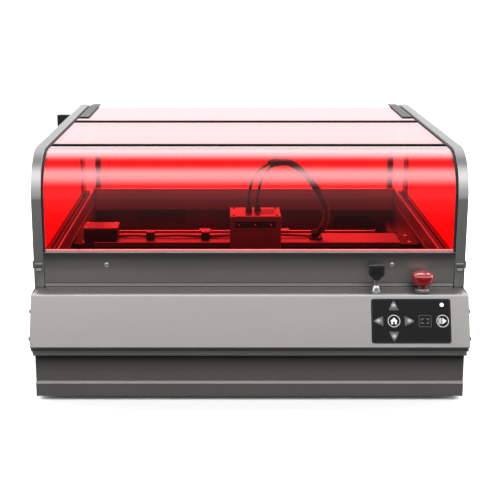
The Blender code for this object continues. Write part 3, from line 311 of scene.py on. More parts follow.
# ---------------------------------------------------------------- shapes
class Shape:
    """One mesh gathered from simple solids."""

    def __init__(self):
        self.mesh = bmesh.new()

    def box(self, low, high):
        """A block between two opposite corners."""
        low, high = Vector(low), Vector(high)
        matrix = Matrix.LocRotScale((low + high) / 2, None, high - low)
        bmesh.ops.create_cube(self.mesh, size=1.0, matrix=matrix)
        return self

    def skin(self, rows, closed=False, capped=True):
        """Faces between rows of points: rings round a line, each of the same count or a single point."""
        rings = [[self.mesh.verts.new(p) for p in row] for row in rows]
        pairs = list(zip(rings, rings[1:]))
        if closed:
            pairs.append((rings[-1], rings[0]))
        for a, b in pairs:
            for i in range(max(len(a), len(b))):
                corners = [a[i % len(a)], a[(i + 1) % len(a)], b[(i + 1) % len(b)], b[i % len(b)]]
                self.mesh.faces.new(list(dict.fromkeys(corners)))
        if capped and not closed:
            for ring in (rings[0], rings[-1]):
                if len(ring) > 2:
                    self.mesh.faces.new(ring)
        return self

    def turned(self, profile, place, axis=UP, steps=40, closed=False, hexagon=()):
        """(radius, height) points turned about an axis. The rows numbered in hexagon have six flat sides."""
        place = Vector(place)
        turn = UP.rotation_difference(axis)
        rows = []
        for index, (radius, height) in enumerate(profile):
            row = []
            for step in range(steps if radius else 1):
                angle = 2 * math.pi * step / steps
                reach = radius
                if index in hexagon:
                    reach *= math.cos(math.pi / 6) / math.cos(angle % (math.pi / 3) - math.pi / 6)
                row.append(place + turn @ Vector((reach * math.cos(angle), reach * math.sin(angle),
                                                  height)))
            rows.append(row)
        return self.skin(rows, closed)

    def prism(self, outline, matrix, depth):
        """A flat outline in matrix's XY plane, extruded along its Z."""
        rows = [[matrix @ Vector((u, v, w)) for u, v in outline] for w in (0, depth)]
        return self.skin(rows)

    def across(self, outline, x0, x1):
        """A closed (Y, Z) outline run along X."""
        return self.skin([[at(x, y, z) for y, z in outline] for x in (x0, x1)])

    def band(self, outer, inner, x0, x1, closed=True):
        """The strip between two (Y, Z) lines of as many points each, run along X."""
        rows = [[at(x0, *o), at(x1, *o), at(x1, *i), at(x0, *i)] for o, i in zip(outer, inner)]
        return self.skin(rows, closed)

    def tube(self, points, radius, sides=14, ripple=0.0):
        """A round tube along points. With a ripple, every second ring is that much narrower."""
        points = [Vector(p) for p in points]
        ahead = [(b - a).normalized() for a, b in zip(points, points[1:])]
        ahead.append(ahead[-1])
        side = ahead[0].orthogonal().normalized()
        rows = []
        for index, (point, way) in enumerate(zip(points, ahead)):
            side = (side - way * side.dot(way)).normalized()
            other = way.cross(side)
            reach = radius - (ripple if index % 2 else 0)
            angles = [2 * math.pi * step / sides for step in range(sides)]
            rows.append([point + (side * math.cos(a) + other * math.sin(a)) * reach for a in angles])
        return self.skin(rows)

    def screw(self, place, axis, radius, high):
        """A button head with a hexagon socket."""
        shares = ((0, 0), (1, 0), (0.98, 0.3), (0.8, 0.8), (0.55, 1), (0.42, 1), (0.42, 0.3), (0, 0.3))
        profile = [(radius * across, high * up) for across, up in shares]
        return self.turned(profile, place, axis, 24, hexagon=(5, 6))


# radius and height of the screw heads
M4_RAISED, M4_CAP, M4, M4_SMALL = (0.0030, 0.0021), (0.0030, 0.0015), (0.0030, 0.0012), (0.0028, 0.0012)
M3, M3_FLAT, M3_SMALL, M2 = (0.0026, 0.0012), (0.0026, 0.0011), (0.0024, 0.0011), (0.0020, 0.0010)

SHARP = math.radians(32)  # edges that turn by more than this look sharp, and take a bevel


def placed(name, mesh):
    """A new object in the scene."""
    made = bpy.data.objects.new(name, mesh)
    bpy.context.scene.collection.objects.link(made)
    return made


def solid(shape, name):
    """Turns a shape into an object."""
    bmesh.ops.recalc_face_normals(shape.mesh, faces=shape.mesh.faces)
    mesh = bpy.data.meshes.new(name)
    shape.mesh.to_mesh(mesh)
    shape.mesh.free()
    return placed(name, mesh)


def shown(made, body, material, slot, replaces, bevel, segments):
    """Gives a piece its finish, its rounded edges and the body it rides on, and hides the nodes it stands
    for.
    """
    made.data.materials.clear()
    made.data.materials.append(FINISH[material])
    made.data.shade_smooth()
    made.data.set_sharp_from_angle(angle=SHARP)
    if bevel:
        edges = made.modifiers.new("edges", "BEVEL")
        edges.width = bevel
        edges.segments = segments
        edges.limit_method = "ANGLE"
        edges.angle_limit = SHARP
    flat = made.modifiers.new("flat_faces", "WEIGHTED_NORMAL")
    flat.keep_sharp = True
    if material.startswith("acrylic"):
        made.visible_diffuse = made.visible_glossy = made.visible_shadow = False
    if body:
        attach(made, body)
    if replaces:
        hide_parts(*replaces)
    return made


def piece(shape, name, body, material, replaces=(), bevel=0.0, segments=2, slot=None):
    """A finished piece made from a shape. Its slot, the usual one of its material unless another is given,
    is not used.
    """
    slot = slot or USUAL_SLOT.get(material, material)
    return shown(solid(shape, name), body, material, slot, replaces, bevel, segments)


def on_line(edge, y, z):
    """Whether an edge lies on the line along X through (Y, Z)."""
    return all(math.hypot(vert.co.y - y, vert.co.z - z) < 0.0001 for vert in edge.verts)


def refined(name, material, bevel=0.0005, segments=2, cutter=None, nose=(), nose_radius=0.0):
    """A CAD node's own shape with rounded edges and, with a cutter, openings cut through it. The edges
    along X through the (Y, Z) places in nose are rounded more."""
    mesh = frame["nodes"][name].data.copy()
    shape = bmesh.new()
    shape.from_mesh(mesh)
    bmesh.ops.remove_doubles(shape, verts=shape.verts, dist=1e-6)
    bmesh.ops.dissolve_limit(shape, angle_limit=math.radians(0.1), verts=shape.verts, edges=shape.edges)
    if nose:
        edges = [edge for edge in shape.edges if any(on_line(edge, *place) for place in nose)]
        bmesh.ops.bevel(shape, geom=edges, offset=nose_radius, segments=4, profile=0.5, affect="EDGES")
    shape.to_mesh(mesh)
    shape.free()
    made = placed(name + "_finished", mesh)
    if cutter:
        tool = solid(cutter, name + "_tool")
        boolean = made.modifiers.new("openings", "BOOLEAN")
        boolean.object = tool
        boolean.solver = "EXACT"
        bpy.context.view_layer.update()
        cut = bpy.data.meshes.new_from_object(made.evaluated_get(bpy.context.evaluated_depsgraph_get()))
        made.modifiers.clear()
        made.data = cut
        bpy.data.objects.remove(tool)
    return shown(made, BODY_OF[name], material, SLOT_OF[name], (name,), bevel, segments)


def polar(radius, degrees):
    """A point at a distance and an angle."""
    return radius * math.cos(math.radians(degrees)), radius * math.sin(math.radians(degrees))


def arc(centre, radius, start, end, count=8):
    """Points of an arc between two angles in degrees."""
    turns = (polar(radius, start + (end - start) * i / count) for i in range(count + 1))
    return [(centre[0] + u, centre[1] + v) for u, v in turns]


def mirrored(half):
    """A closed outline from its right half, given from one end of the middle line to the other."""
    return half + [(-u, v) for u, v in reversed(half) if u > 0]


def rounded(width, height, radius, count=5, u=0.0, v=0.0):
    """A rectangle with round corners about (u, v)."""
    points = []
    for right, top, start in ((1, -1, -90), (1, 1, 0), (-1, 1, 90), (-1, -1, 180)):
        corner = (u + right * (width / 2 - radius), v + top * (height / 2 - radius))
        points += arc(corner, radius, start, start + 90, count)
    return points


# ---------------------------------------------------------------- the slanted front face
FACE_TURN = math.atan2(0.0275, 0.063)  # how far the front beam's face leans back
FACE_OUT = Vector((0, -math.cos(FACE_TURN), math.sin(FACE_TURN)))
FACE_UP = Vector((0, math.sin(FACE_TURN), math.cos(FACE_TURN)))
FILM_BACK = 0.0007  # from the film's middle to the face it lies in
FILM_FRONT = 0.0008  # from there to the film's front
KEY_FRONT = 0.0010  # from a key's middle to its front
PRINT_DEPTH = 0.00012


def middle(name):
    low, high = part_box(name)
    return (low + high) / 2


def underside(name):
    """The middle of a node's underside."""
    centre = middle(name)
    return Vector((centre.x, centre.y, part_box(name)[0].z))


def on_plane(place, right, up):
    """A matrix whose XY plane passes through place, along right and up."""
    out = right.cross(up)
    return Matrix.Translation(place) @ Matrix((right, up, out)).transposed().to_4x4()


def on_face(place, out=0.0):
    return on_plane(place + FACE_OUT * out, RIGHT, FACE_UP)


def ring(shape, matrix, inner, outer, depth, steps=40):
    """A flat ring standing on matrix's XY plane."""
    profile = [(inner, 0), (outer, 0), (outer, depth), (inner, depth)]
    return shape.turned(profile, matrix.translation, matrix.to_3x3() @ UP, steps, closed=True)


def border(shape, matrix, half_w, half_h, line, radius, count, depth):
    """Four thin bars round a rectangle on matrix's XY plane."""
    for side in BOTH:
        shape.prism(rounded(2 * half_w, line, radius, count, 0, side * half_h), matrix, depth)
        shape.prism(rounded(line, 2 * half_h, radius, count, side * half_w), matrix, depth)


# ---------------------------------------------------------------- base
def front_beam():
    """The beam with its round top edge, and end caps that follow its outline."""
    top_edges = ((-0.2907, 0.1398), (-0.2888, 0.1410))
    # the beam's grooves carry painted shade and its ridge bands painted highlight
    refined("front_beam", "anodised_beam", nose=top_edges, nose_radius=0.0011)
    foot, top, back, thick = 0.0805, beam_high.z - 0.004, -0.2405, 0.0007
    outline = [(beam_low.y + 0.0022, foot), (beam_low.y + 0.0286, top), (back, top), (back, foot)]
    caps, screws = Shape(), Shape()
    for sign in BOTH:
        outside = sign * (BODY_HALF + thick)
        caps.across(outline, sign * BODY_HALF, outside)
        for y, z in ((-0.3075, 0.0862), (-0.2935, 0.1188), (-0.25, 0.127), (-0.25, 0.089)):
            screws.screw(at(outside, y, z), RIGHT * sign, *M4_RAISED)
    piece(caps, "beam_end_caps", "base", "anodised_dark", bevel=0.0003)
    piece(screws, "beam_end_screws", "base", "screw_black")


def control_panel():
    """The film with its border and lamp, and what is printed on the keys."""
    refined("control_panel", "panel_film", 0.0003)
    face = middle("control_panel") + FACE_OUT * FILM_BACK
    place = on_face(face + RIGHT * 0.04 + FACE_UP * 0.021, FILM_FRONT).translation
    lamp = Shape().turned([(0.0025, 0), (0.0024, 0.0004), (0.0018, 0.0008), (0, 0.0009)], place, FACE_OUT)
    piece(lamp, "status_lamp", "base", "led_white")
    rim, line = Shape(), 0.0002
    border(rim, on_face(face, FILM_FRONT), 0.05, 0.0275, line, line / 2.2, 1, PRINT_DEPTH / 2)
    piece(rim, "panel_border", "base", "print_dim")
    for key in ("up", "down", "left", "right"):
        refined(f"key_{key}", "glow_key", 0.0002)
    for key in ("home", "frame", "start"):
        refined(f"key_{key}", "panel_film", 0.0002)
        plane = on_face(middle(f"key_{key}"), KEY_FRONT)
        if key == "frame":
            frame_key(plane)
        else:
            icon = home_icon(plane) if key == "home" else start_icon(plane)
            ring(icon, plane, 0.0072, 0.0079, PRINT_DEPTH)
            piece(icon, f"{key}_icon", f"key_{key}", "print_white")


def home_icon(plane):
    """A house with an open door."""
    house = [(0, 0.0046), (0.005, -0.0004), (0.0036, -0.0004), (0.0036, -0.0042), (0.0012, -0.0042),
             (0.0012, -0.0008)]
    return Shape().prism(mirrored(house), plane, PRINT_DEPTH)


def start_icon(plane):
    """Two bars and a triangle."""
    icon = Shape().prism([(-0.0004, -0.0042), (0.0052, 0), (-0.0004, 0.0042)], plane, PRINT_DEPTH)
    for u in (-0.0047, -0.0024):
        icon.prism(rounded(0.0011, 0.0078, 0.0003, 2, u), plane, PRINT_DEPTH)
    return icon


def frame_key(plane):
    """A thin border with four corner brackets inside."""
    lines = Shape()
    border(lines, plane, 0.0079, 0.0074, 0.0007, 0.0003, 2, PRINT_DEPTH)
    piece(lines, "frame_key_border", "key_frame", "print_dim")
    icon = Shape()
    for side in BOTH:
        for end in BOTH:
            icon.prism(rounded(0.0034, 0.0008, 0.0003, 2, side * 0.0032, end * 0.0028), plane, PRINT_DEPTH)
            icon.prism(rounded(0.0008, 0.0022, 0.0003, 2, side * 0.0045, end * 0.0021), plane, PRINT_DEPTH)
    piece(icon, "frame_key_icon", "key_frame", "print_grey")


def key_switch():
    """The flange and cone on the deck, and the key with its barrel, cut blade and ribbed head."""
    seat = underside("key_collar")
    x, y, z = seat
    flange = [(0.01, 0), (0.01, 0.0004), (0.0096, 0.0007), (0.004, 0.0007), (0.004, 0)]
    made = Shape().turned(flange, seat, steps=64, closed=True)
    piece(made, "key_flange", "base", "anodised", ("key_collar",), 0.0002, slot="bare_steel")
    cone = [(0.0062, 0.0006), (0.006, 0.0016), (0.0052, 0.0042), (0.0047, 0.0062), (0.0043, 0.0067),
            (0.004, 0.0067), (0.004, 0.0006)]
    piece(Shape().turned(cone, seat, steps=48, closed=True), "key_cone", "base", "bright_steel")
    barrel = [(0, 0), (0.0038, 0), (0.0038, 0.0066), (0.003, 0.0072), (0, 0.0073)]
    blade = Shape().turned(barrel, seat, steps=48)
    bars = [(0.0021, 0.0008, z + 0.004, 0.158)]
    bars += [(0.0026, 0.0006, tooth, tooth + 0.0011) for tooth in (0.1462, 0.1488, 0.1512)]
    for half_x, half_y, foot, top in bars:
        blade.box((x - half_x, y - half_y, foot), (x + half_x, y + half_y, top))
    piece(blade, "key_blade", "key", "screw_steel", bevel=0.0002)

    half = [(0.003, 0.154)] + arc((0.008, 0.1622), 0.002, -45, 0, 3) + arc((0.0084, 0.173), 0.0016, 0, 90, 4)
    half_thick = 0.0028
    head = Shape().prism(mirrored(half), on_plane(Vector((x, y + half_thick, 0)), RIGHT, UP), 2 * half_thick)
    piece(head, "key_head", "key", "black_plastic", ("key",), 0.0009, 3)
    grips = Shape()
    for side in BOTH:
        face = on_plane(Vector((x, y + side * half_thick, 0.1668)), RIGHT * -side, UP)
        for step in range(4):
            grips.prism(rounded(0.012, 0.0007, 0.0003, 2, 0, -0.0042 + step * 0.0022), face, 0.0003)
    piece(grips, "key_grips", "key", "black_gloss")


def stop_button():
    """The collar on the deck, and the mushroom cap with three arrows round its top."""
    seat = underside("estop_collar")
    collar = [(0.0112, 0), (0.0112, 0.0008), (0.0106, 0.0013), (0.0096, 0.0018), (0.009, 0.0032),
              (0.0084, 0.0042), (0.0078, 0.0045), (0.0073, 0.0045), (0.0073, 0)]
    made = Shape().turned(collar, seat, steps=64, closed=True)
    piece(made, "estop_collar_turned", "base", "trim_dim", ("estop_collar",), 0.0002, slot="bare_steel")
    top = Vector((seat.x, seat.y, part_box("estop_cap")[1].z))
    cap = [(0, -0.029), (0.0068, -0.029), (0.0068, -0.0172), (0.011, -0.017), (0.0122, -0.016),
           (0.0136, -0.0138), (0.0143, -0.0112), (0.0145, -0.009), (0.0145, -0.0066), (0.0143, -0.005),
           (0.0134, -0.0033), (0.0112, -0.0018), (0.0084, -0.0008), (0.0048, -0.0002), (0, 0)]
    piece(Shape().turned(cap, top, steps=72), "estop_mushroom", "estop_cap", "stop_red", ("estop_cap",))
    arrows = Shape()
    for start in (20, 140, 260):
        end = start + 62
        outline = arc((0, 0), 0.007, start, end, 8)
        outline += [polar(0.006, end), polar(0.00765, end + 22), polar(0.0093, end)]
        outline += arc((0, 0), 0.0083, end, start, 8)
        arrows.prism(outline, Matrix.Translation(top - UP * 0.0017), 0.0012)
    piece(arrows, "estop_arrows", "estop_cap", "stop_red", bevel=0.0002)


def body_panels():
    """Side walls, base pan, drawer front and rear panel, with the vents, louvres and screws in them."""
    vents = Shape()
    for sign in BOTH:
        for step in range(16):
            place = at(sign * PAN_HALF - 0.006, 0.03 + step * 0.011, 0.035)
            vents.prism(rounded(0.0042, 0.026, 0.002), on_plane(place, BACK, UP), 0.012)
    refined("base_pan", "powder_dark", 0.0008, cutter=vents)
    # the drawer front carries painted shadow from the beam above it
    refined("drawer_front", "drawer_dark", 0.0006)
    edge = [(-0.3074, 0.0243), (-0.3062, 0.0271), (-0.3046, 0.0271), (-0.3046, 0.0243)]
    piece(Shape().across(edge, -0.2796, 0.2796), "drawer_edge", "drawer", "anodised")

    screws = Shape()
    for side, sign in SIDES.items():
        refined(f"side_wall_{side}", "anodised_side")
        for y in (-0.205, -0.045, 0.115, 0.262):
            for z in (0.076, 0.129):
                screws.screw(at(sign * BODY_HALF, y, z), RIGHT * sign, *M4)
        for y in (-0.262, -0.080, 0.100, 0.270):
            screws.screw(at(sign * PAN_HALF, y, 0.014), RIGHT * sign, *M4_SMALL)
    for x in (-0.245, -0.08, 0.08, 0.245):
        for z in (0.072, 0.162):
            screws.screw(at(x, REAR_FACE, z), BACK, *M4)
        screws.screw(at(x, 0.287, 0.016), BACK, *M4_SMALL)
    piece(screws, "body_screws", "base", "screw_black")

    louvres = Shape()
    for step in range(12):
        for z in (0.079, 0.1, 0.121):
            place = at(-0.02 + step * 0.0125, REAR_FACE - 0.0011, z)
            louvres.prism(rounded(0.0032, 0.015, 0.0015), on_plane(place, -RIGHT, UP), 0.01)
    refined("rear_panel", "anodised_dark", 0.0, cutter=louvres)
    gauze = Shape().box(at(-0.03, 0.2876, 0.07), at(0.13, 0.28835, 0.138))
    piece(gauze, "louvre_gauze", "base", "black_plastic", slot="dark_sheet")
    # the rear beam's finish is painted light, with painted shade lower down
    refined("rear_beam", "anodised_painted_light", 0.0006)


def chamber_trim():
    """Thin bright lips along the tops of the side walls and inside the chamber."""
    trim = Shape()
    for sign in BOTH:
        for x, y0, y1, z0, z1 in ((0.2651, -0.237, 0.286, CHAMBER_TOP, CHAMBER_TOP + 0.0008),
                                  (0.2661, -0.237, 0.286, CHAMBER_TOP, CHAMBER_TOP + 0.0005),
                                  (0.2635, -0.230, 0.250, 0.150, 0.1512)):
            trim.box(at(sign * x - 0.0003, y0, z0), at(sign * x + 0.0003, y1, z1))
    piece(trim, "chamber_trim", "base", "satin_silver")


def feet():
    """Moulded feet, each with a recess for its screw."""
    profile = [(0, 0.0016), (0.0052, 0.0016), (0.0056, 0), (0.0118, 0), (0.0124, 0.0006), (0.013, 0.002),
               (0.014, 0.0034), (0.015, 0.0057), (0.009, 0.0057), (0.009, 0.005), (0, 0.005)]
    for depth in ("front", "rear"):
        for side in SIDES:
            name = f"foot_{depth}_{side}"
            foot = Shape().turned(profile, middle(name) - UP * 0.00285, steps=48)
            piece(foot, name + "_moulded", "base", "rubber", (name,))


def power_inlet():
    """The inlet with its three pins, and the rocker with its two marks."""
    refined("power_inlet", "black_plastic", 0.0006)
    pins = Shape()
    for x in (0.1785, 0.1905):
        pins.box(at(x - 0.0008, 0.276, 0.096), at(x + 0.0008, 0.2862, 0.1))
    pins.box(at(0.1837, 0.276, 0.1035), at(0.1853, 0.2872, 0.1075))
    piece(pins, "inlet_pins", "base", "bright_steel", bevel=0.0003)
    refined("rocker", "black_gloss")
    marks = Shape()
    tilt = Euler((math.radians(-7), 0, 0)).to_matrix()
    for z in (0.0052, -0.0052):
        plane = on_plane(middle("rocker") + tilt @ Vector((0, 0.003, z)), -RIGHT, tilt @ UP)
        if z > 0:
            marks.prism(rounded(0.0007, 0.004, 0.0003, 2), plane, 0.0008)
        else:
            ring(marks, plane, 0.0014, 0.002, 0.0008)
    piece(marks, "rocker_marks", "rocker", "print_white")


EXHAUST_X, EXHAUST_Z = -0.150, 0.101


def exhaust():
    """The duct with its ribs and finger guard, the fan, and a baffle that keeps light out behind it."""
    def out_at(dx, y, dz):
        return at(EXHAUST_X + dx, y, EXHAUST_Z + dz)

    refined("exhaust_duct", "black_plastic")
    ribs = Shape()
    profile = [(0.0359, -0.0007), (0.0367, -0.0003), (0.0367, 0.0003), (0.0359, 0.0007)]
    for y in (0.2985, 0.3035, 0.3085):
        ribs.turned(profile, out_at(0, y, 0), BACK, 72, closed=True)
    piece(ribs, "exhaust_ribs", "base", "black_plastic")
    guard, wire = Shape(), 0.0007
    for radius in (0.0085, 0.015, 0.0215, 0.028):
        guard.tube([out_at(u, 0.316, v) for u, v in arc((0, 0), radius, 0, 360, 48)], wire, 8)
    for turn in (45, 135, 225, 315):
        way = Vector((*polar(1, turn), 0)).xzy
        guard.tube([out_at(0, 0.315, 0) + way * reach for reach in (0.0085, 0.0326)], wire, 8)
    piece(guard, "exhaust_guard", "base", "bright_steel")
    refined("exhaust_fan", "black_plastic", 0.0003)
    baffle = Shape().prism(rounded(0.086, 0.066, 0.004), on_plane(out_at(0, 0.28, 0), -RIGHT, UP), 0.001)
    for row in range(7):
        z = -0.027 + row * 0.009
        baffle.tube([out_at(-0.036, 0.2796, z), out_at(0.036, 0.2796, z)], 0.0012, 12)
    for dx in (-0.0385, 0.0385):
        for dz in (-0.028, 0.028):
            spacer = [(0, 0), (0.003, 0), (0.003, 0.007), (0, 0.007)]
            baffle.turned(spacer, out_at(dx, 0.2804, dz), BACK, 20)
    piece(baffle, "light_baffle", "base", "powder_dark", bevel=0.0002)

    screws = Shape()
    for x in (0.1625, 0.2275):
        screws.screw(at(x, 0.2916, 0.102), BACK, 0.0022, 0.0009)
    for dx in (-0.0375, 0.0375):
        for dz in (-0.032, 0.0305):
            screws.screw(out_at(dx, 0.2926, dz), BACK, *M3_FLAT)
    piece(screws, "rear_fitting_screws", "base", "screw_steel")


def drive():
    """The Y drive in the base: rails, belts, motor and the shaft right across."""
    holes = Shape()
    for side in SIDES:
        refined(f"y_rail_{side}", "rail_steel", 0.0004)
        toothed_belt(f"y_belt_{side}", "base")
        low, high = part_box(f"y_rail_{side}")
        for step in range(12):
            place = Vector(((low.x + high.x) / 2, low.y + 0.02 + step * 0.04, high.z))
            holes.screw(place, UP, *M4_CAP)
    piece(holes, "rail_screws", "base", "screw_black")
    motor("y_motor", "base", RIGHT)
    low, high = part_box("y_shaft")
    half = (high.x - low.x) / 2
    pulley = [(0.0085, 0), (0.0085, 0.0009), (0.0061, 0.0011), (0.0061, 0.0074), (0.0085, 0.0076),
              (0.0085, 0.0085), (0.004, 0.0087)]
    end = [(0, half)] + [(radius, half - inwards) for radius, inwards in pulley]
    profile = end + [(radius, -height) for radius, height in reversed(end)]
    shaft = Shape().turned(profile, middle("y_shaft"), RIGHT, 36)
    coupling = [(0.0041, -0.01), (0.0085, -0.01), (0.009, -0.009), (0.009, 0.009), (0.0085, 0.01),
                (0.0041, 0.01)]
    for x in (-0.07, 0.07):
        shaft.turned(coupling, middle("y_shaft") + RIGHT * x, RIGHT, 36, closed=True)
    piece(shaft, "y_shaft_turned", "y_shaft", "bright_steel", ("y_shaft",), 0.0002)


BELT_PITCH = 0.002


def belt_place(run, straight, radius):
    """How far along its middle line a belt is after a run, and the angle at which it faces outwards."""
    half_turn = math.pi * radius
    if run < straight:
        return run - straight / 2, -math.pi / 2
    if run < straight + half_turn:
        return straight / 2, (run - straight) / radius - math.pi / 2
    if run < 2 * straight + half_turn:
        return 1.5 * straight + half_turn - run, math.pi / 2
    return -straight / 2, (run - 2 * straight - half_turn) / radius + math.pi / 2


def toothed_belt(name, body):
    """A closed belt round two ends, with its teeth on the inside. It lies in the plane of its node's box."""
    low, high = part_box(name)
    size = high - low
    wide_axis = min(range(3), key=lambda axis: size[axis])
    long_axis = max(range(3), key=lambda axis: size[axis])
    third = 3 - wide_axis - long_axis
    radius = size[third] / 2
    straight = size[long_axis] - 2 * radius
    length = 2 * straight + 2 * math.pi * radius
    count = round(length / BELT_PITCH)
    tooth, band = 0.00075, 0.0007
    centre, rows = (low + high) / 2, []
    for step in range(count):
        for share, depth in ((0.0, 0), (0.22, tooth), (0.58, tooth), (0.80, 0)):
            along, angle = belt_place((step + share) / count * length, straight, radius)
            inner = radius - band - depth
            row = []
            for reach, edge in ((radius, -1), (radius, 1), (inner, 1), (inner, -1)):
                place = centre.copy()
                place[long_axis] += along + math.cos(angle) * reach
                place[third] += math.sin(angle) * reach
                place[wide_axis] += edge * size[wide_axis] / 2
                row.append(place)
            rows.append(row)
    made = piece(Shape().skin(rows, closed=True), name + "_toothed", body, "rubber", (name,))
    made.data.set_sharp_from_angle(angle=math.radians(20))


def motor(name, body, axis):
    """A square stepper motor: a thin mounting plate on a dark body, with corner screws."""
    low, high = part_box(name)
    size = high - low
    along = max(range(3), key=lambda i: abs(axis[i]))
    u, v = [i for i in range(3) if i != along]
    right, up = Vector((0, 0, 0)), Vector((0, 0, 0))
    right[u], up[v] = 1.0, 1.0
    if right.cross(up)[along] < 0:
        right = -right
    start, face = middle(name), middle(name)
    start[along] = low[along]
    face[along] = high[along]
    plate = size[along] - 0.0035
    layers = (("plate", plate, size[along], 0.0038, 0.0, "head_grey", (name,)),
              ("body", 0.0, plate, 0.0078, 0.0006, "black_plastic", ()))
    for kind, begin, end, corner, inset, material, replaces in layers:
        plane = on_plane(start, right, up) @ Matrix.Translation((0, 0, begin + 0.00005))
        outline = rounded(size[u] - 2 * inset, size[v] - 2 * inset, corner, 3)
        shape = Shape().prism(outline, plane, end - begin - 0.0001)
        piece(shape, f"{name}_{kind}", body, material, replaces, 0.0004, slot="black_plastic")
    screws = Shape()
    for a in BOTH:
        for b in BOTH:
            spot = face.copy()
            spot[u] += a * (size[u] / 2 - 0.005)
            spot[v] += b * (size[v] / 2 - 0.005)
            screws.screw(spot, axis, 0.0024, 0.0012)
    piece(screws, name + "_screws", body, "screw_steel")


def electronics():
    """The controller board with two rows of parts and five round capacitors."""
    refined("controller_board", "board", 0.0002)
    low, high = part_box("controller_board")
    parts, cans = Shape(), Shape()
    front = low.y + 0.0016
    for index in range(14):
        x = low.x + 0.008 + index * 0.0108
        top = front + 0.0016 + 0.0006 * (index % 3)
        parts.box((x, front, low.z + 0.002), (x + 0.0062, top, low.z + 0.0052))
    for index in range(9):
        x = low.x + 0.046 + index * 0.0125
        parts.box((x, front, high.z - 0.0065), (x + 0.0052, front + 0.0012, high.z - 0.003))
    can = [(0, 0), (0.0016, 0), (0.0016, 0.0046), (0.0013, 0.005), (0, 0.005)]
    for index in range(5):
        place = (low.x + 0.05 + index * 0.0042, front, low.z + 0.013 + (index % 2) * 0.006)
        cans.turned(can, place, BACK, 20)
    piece(parts, "board_parts", "base", "chip_black", bevel=0.0002)
    piece(cans, "board_cans", "base", "bright_steel")


def hinge_posts():
    """The posts that carry the lid's pins, with their ribs and screws, and the rear window between them."""
    ribs, screws = Shape(), Shape()
    for side, sign in SIDES.items():
        refined(f"hinge_post_{side}", "powder_dark", 0.0007)
        for z in (0.199, 0.224, 0.249, 0.274):
            centre, half = at(sign * 0.2546, 0.28, z), Vector((0.001, 0.0058, 0.0011))
            ribs.box(centre - half, centre + half)
        for z in (0.185, 0.21):
            screws.screw(at(sign * 0.2637, 0.2778, z), RIGHT * sign, *M3)
    piece(ribs, "hinge_post_ribs", "base", "powder_dark", bevel=0.0005)
    piece(screws, "hinge_post_screws", "base", "screw_steel")
    refined("rear_window", "acrylic", 0.0004)


# ---------------------------------------------------------------- drawer and bed
def strips(low, high, width, inset):
    """Four strips round a box, as (x0, y0, x1, y1). The two along Y are shorter by inset at each end."""
    return ((low.x, low.y, high.x, low.y + width), (low.x, high.y - width, high.x, high.y),
            (low.x, low.y + inset, low.x + width, high.y - inset),
            (high.x - width, low.y + inset, high.x, high.y - inset))


def drawer():
    """The tray, and the bed's frame of folded sheet with the honeycomb in it."""
    refined("drawer_tray", "powder_dark")
    low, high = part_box("honeycomb_bed")
    rim, thick = 0.009, 0.0015
    shape = Shape()
    for x0, y0, x1, y1 in strips(low, high, rim, rim):
        shape.box((x0, y0, high.z - thick), (x1, y1, high.z))
        shape.box((x0, y0, low.z), (x1, y1, low.z + thick))
    for x0, y0, x1, y1 in strips(low, high, thick, 0):
        shape.box((x0, y0, low.z + thick), (x1, y1, high.z - thick))
    piece(shape, "bed_frame", "drawer", "satin_silver", ("honeycomb_bed",), 0.0004, slot="bed_steel")
    inset = Vector((thick, thick, thick + 0.0002))
    honeycomb(low + inset, high - inset)


CELL, CELL_WALL = 0.0104, 0.00045  # the honeycomb's cells flat to flat, and its sheet
WALL_FACES = ((0, 1, 5, 4), (2, 3, 7, 6), (4, 5, 6, 7), (3, 2, 1, 0), (1, 2, 6, 5), (3, 0, 4, 7))


def honeycomb(low, high):
    """Six-sided cells of thin sheet that fill a box, each wall made once."""
    side = CELL / math.sqrt(3)
    verts, faces = [], []
    for row in range(int((high.y - low.y) / (1.5 * side)) + 1):
        for column in range(int((high.x - low.x) / CELL) + 1):
            x = low.x + CELL * (column + 0.5 + (row % 2) / 2)
            y = low.y + side * (1 + 1.5 * row)
            corners = [(x + u, y + v) for u, v in (polar(side, turn) for turn in (330, 30, 90, 150))]
            for (ax, ay), (bx, by) in zip(corners, corners[1:]):
                across = low.x <= min(ax, bx) and max(ax, bx) <= high.x
                if not (across and low.y <= min(ay, by) and max(ay, by) <= high.y):
                    continue
                scale = CELL_WALL / 2 / math.hypot(bx - ax, by - ay)
                nx, ny = (ay - by) * scale, (bx - ax) * scale
                faces += [[len(verts) + i for i in face] for face in WALL_FACES]
                ends = ((ax + nx, ay + ny), (bx + nx, by + ny), (bx - nx, by - ny), (ax - nx, ay - ny))
                verts += [(u, v, z) for z in (low.z, high.z) for u, v in ends]
    mesh = bpy.data.meshes.new("bed_honeycomb")
    mesh.from_pydata(verts, [], faces)
    mesh.materials.append(FINISH["bed_steel"])
    made = placed("bed_honeycomb", mesh)
    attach(made, "drawer")


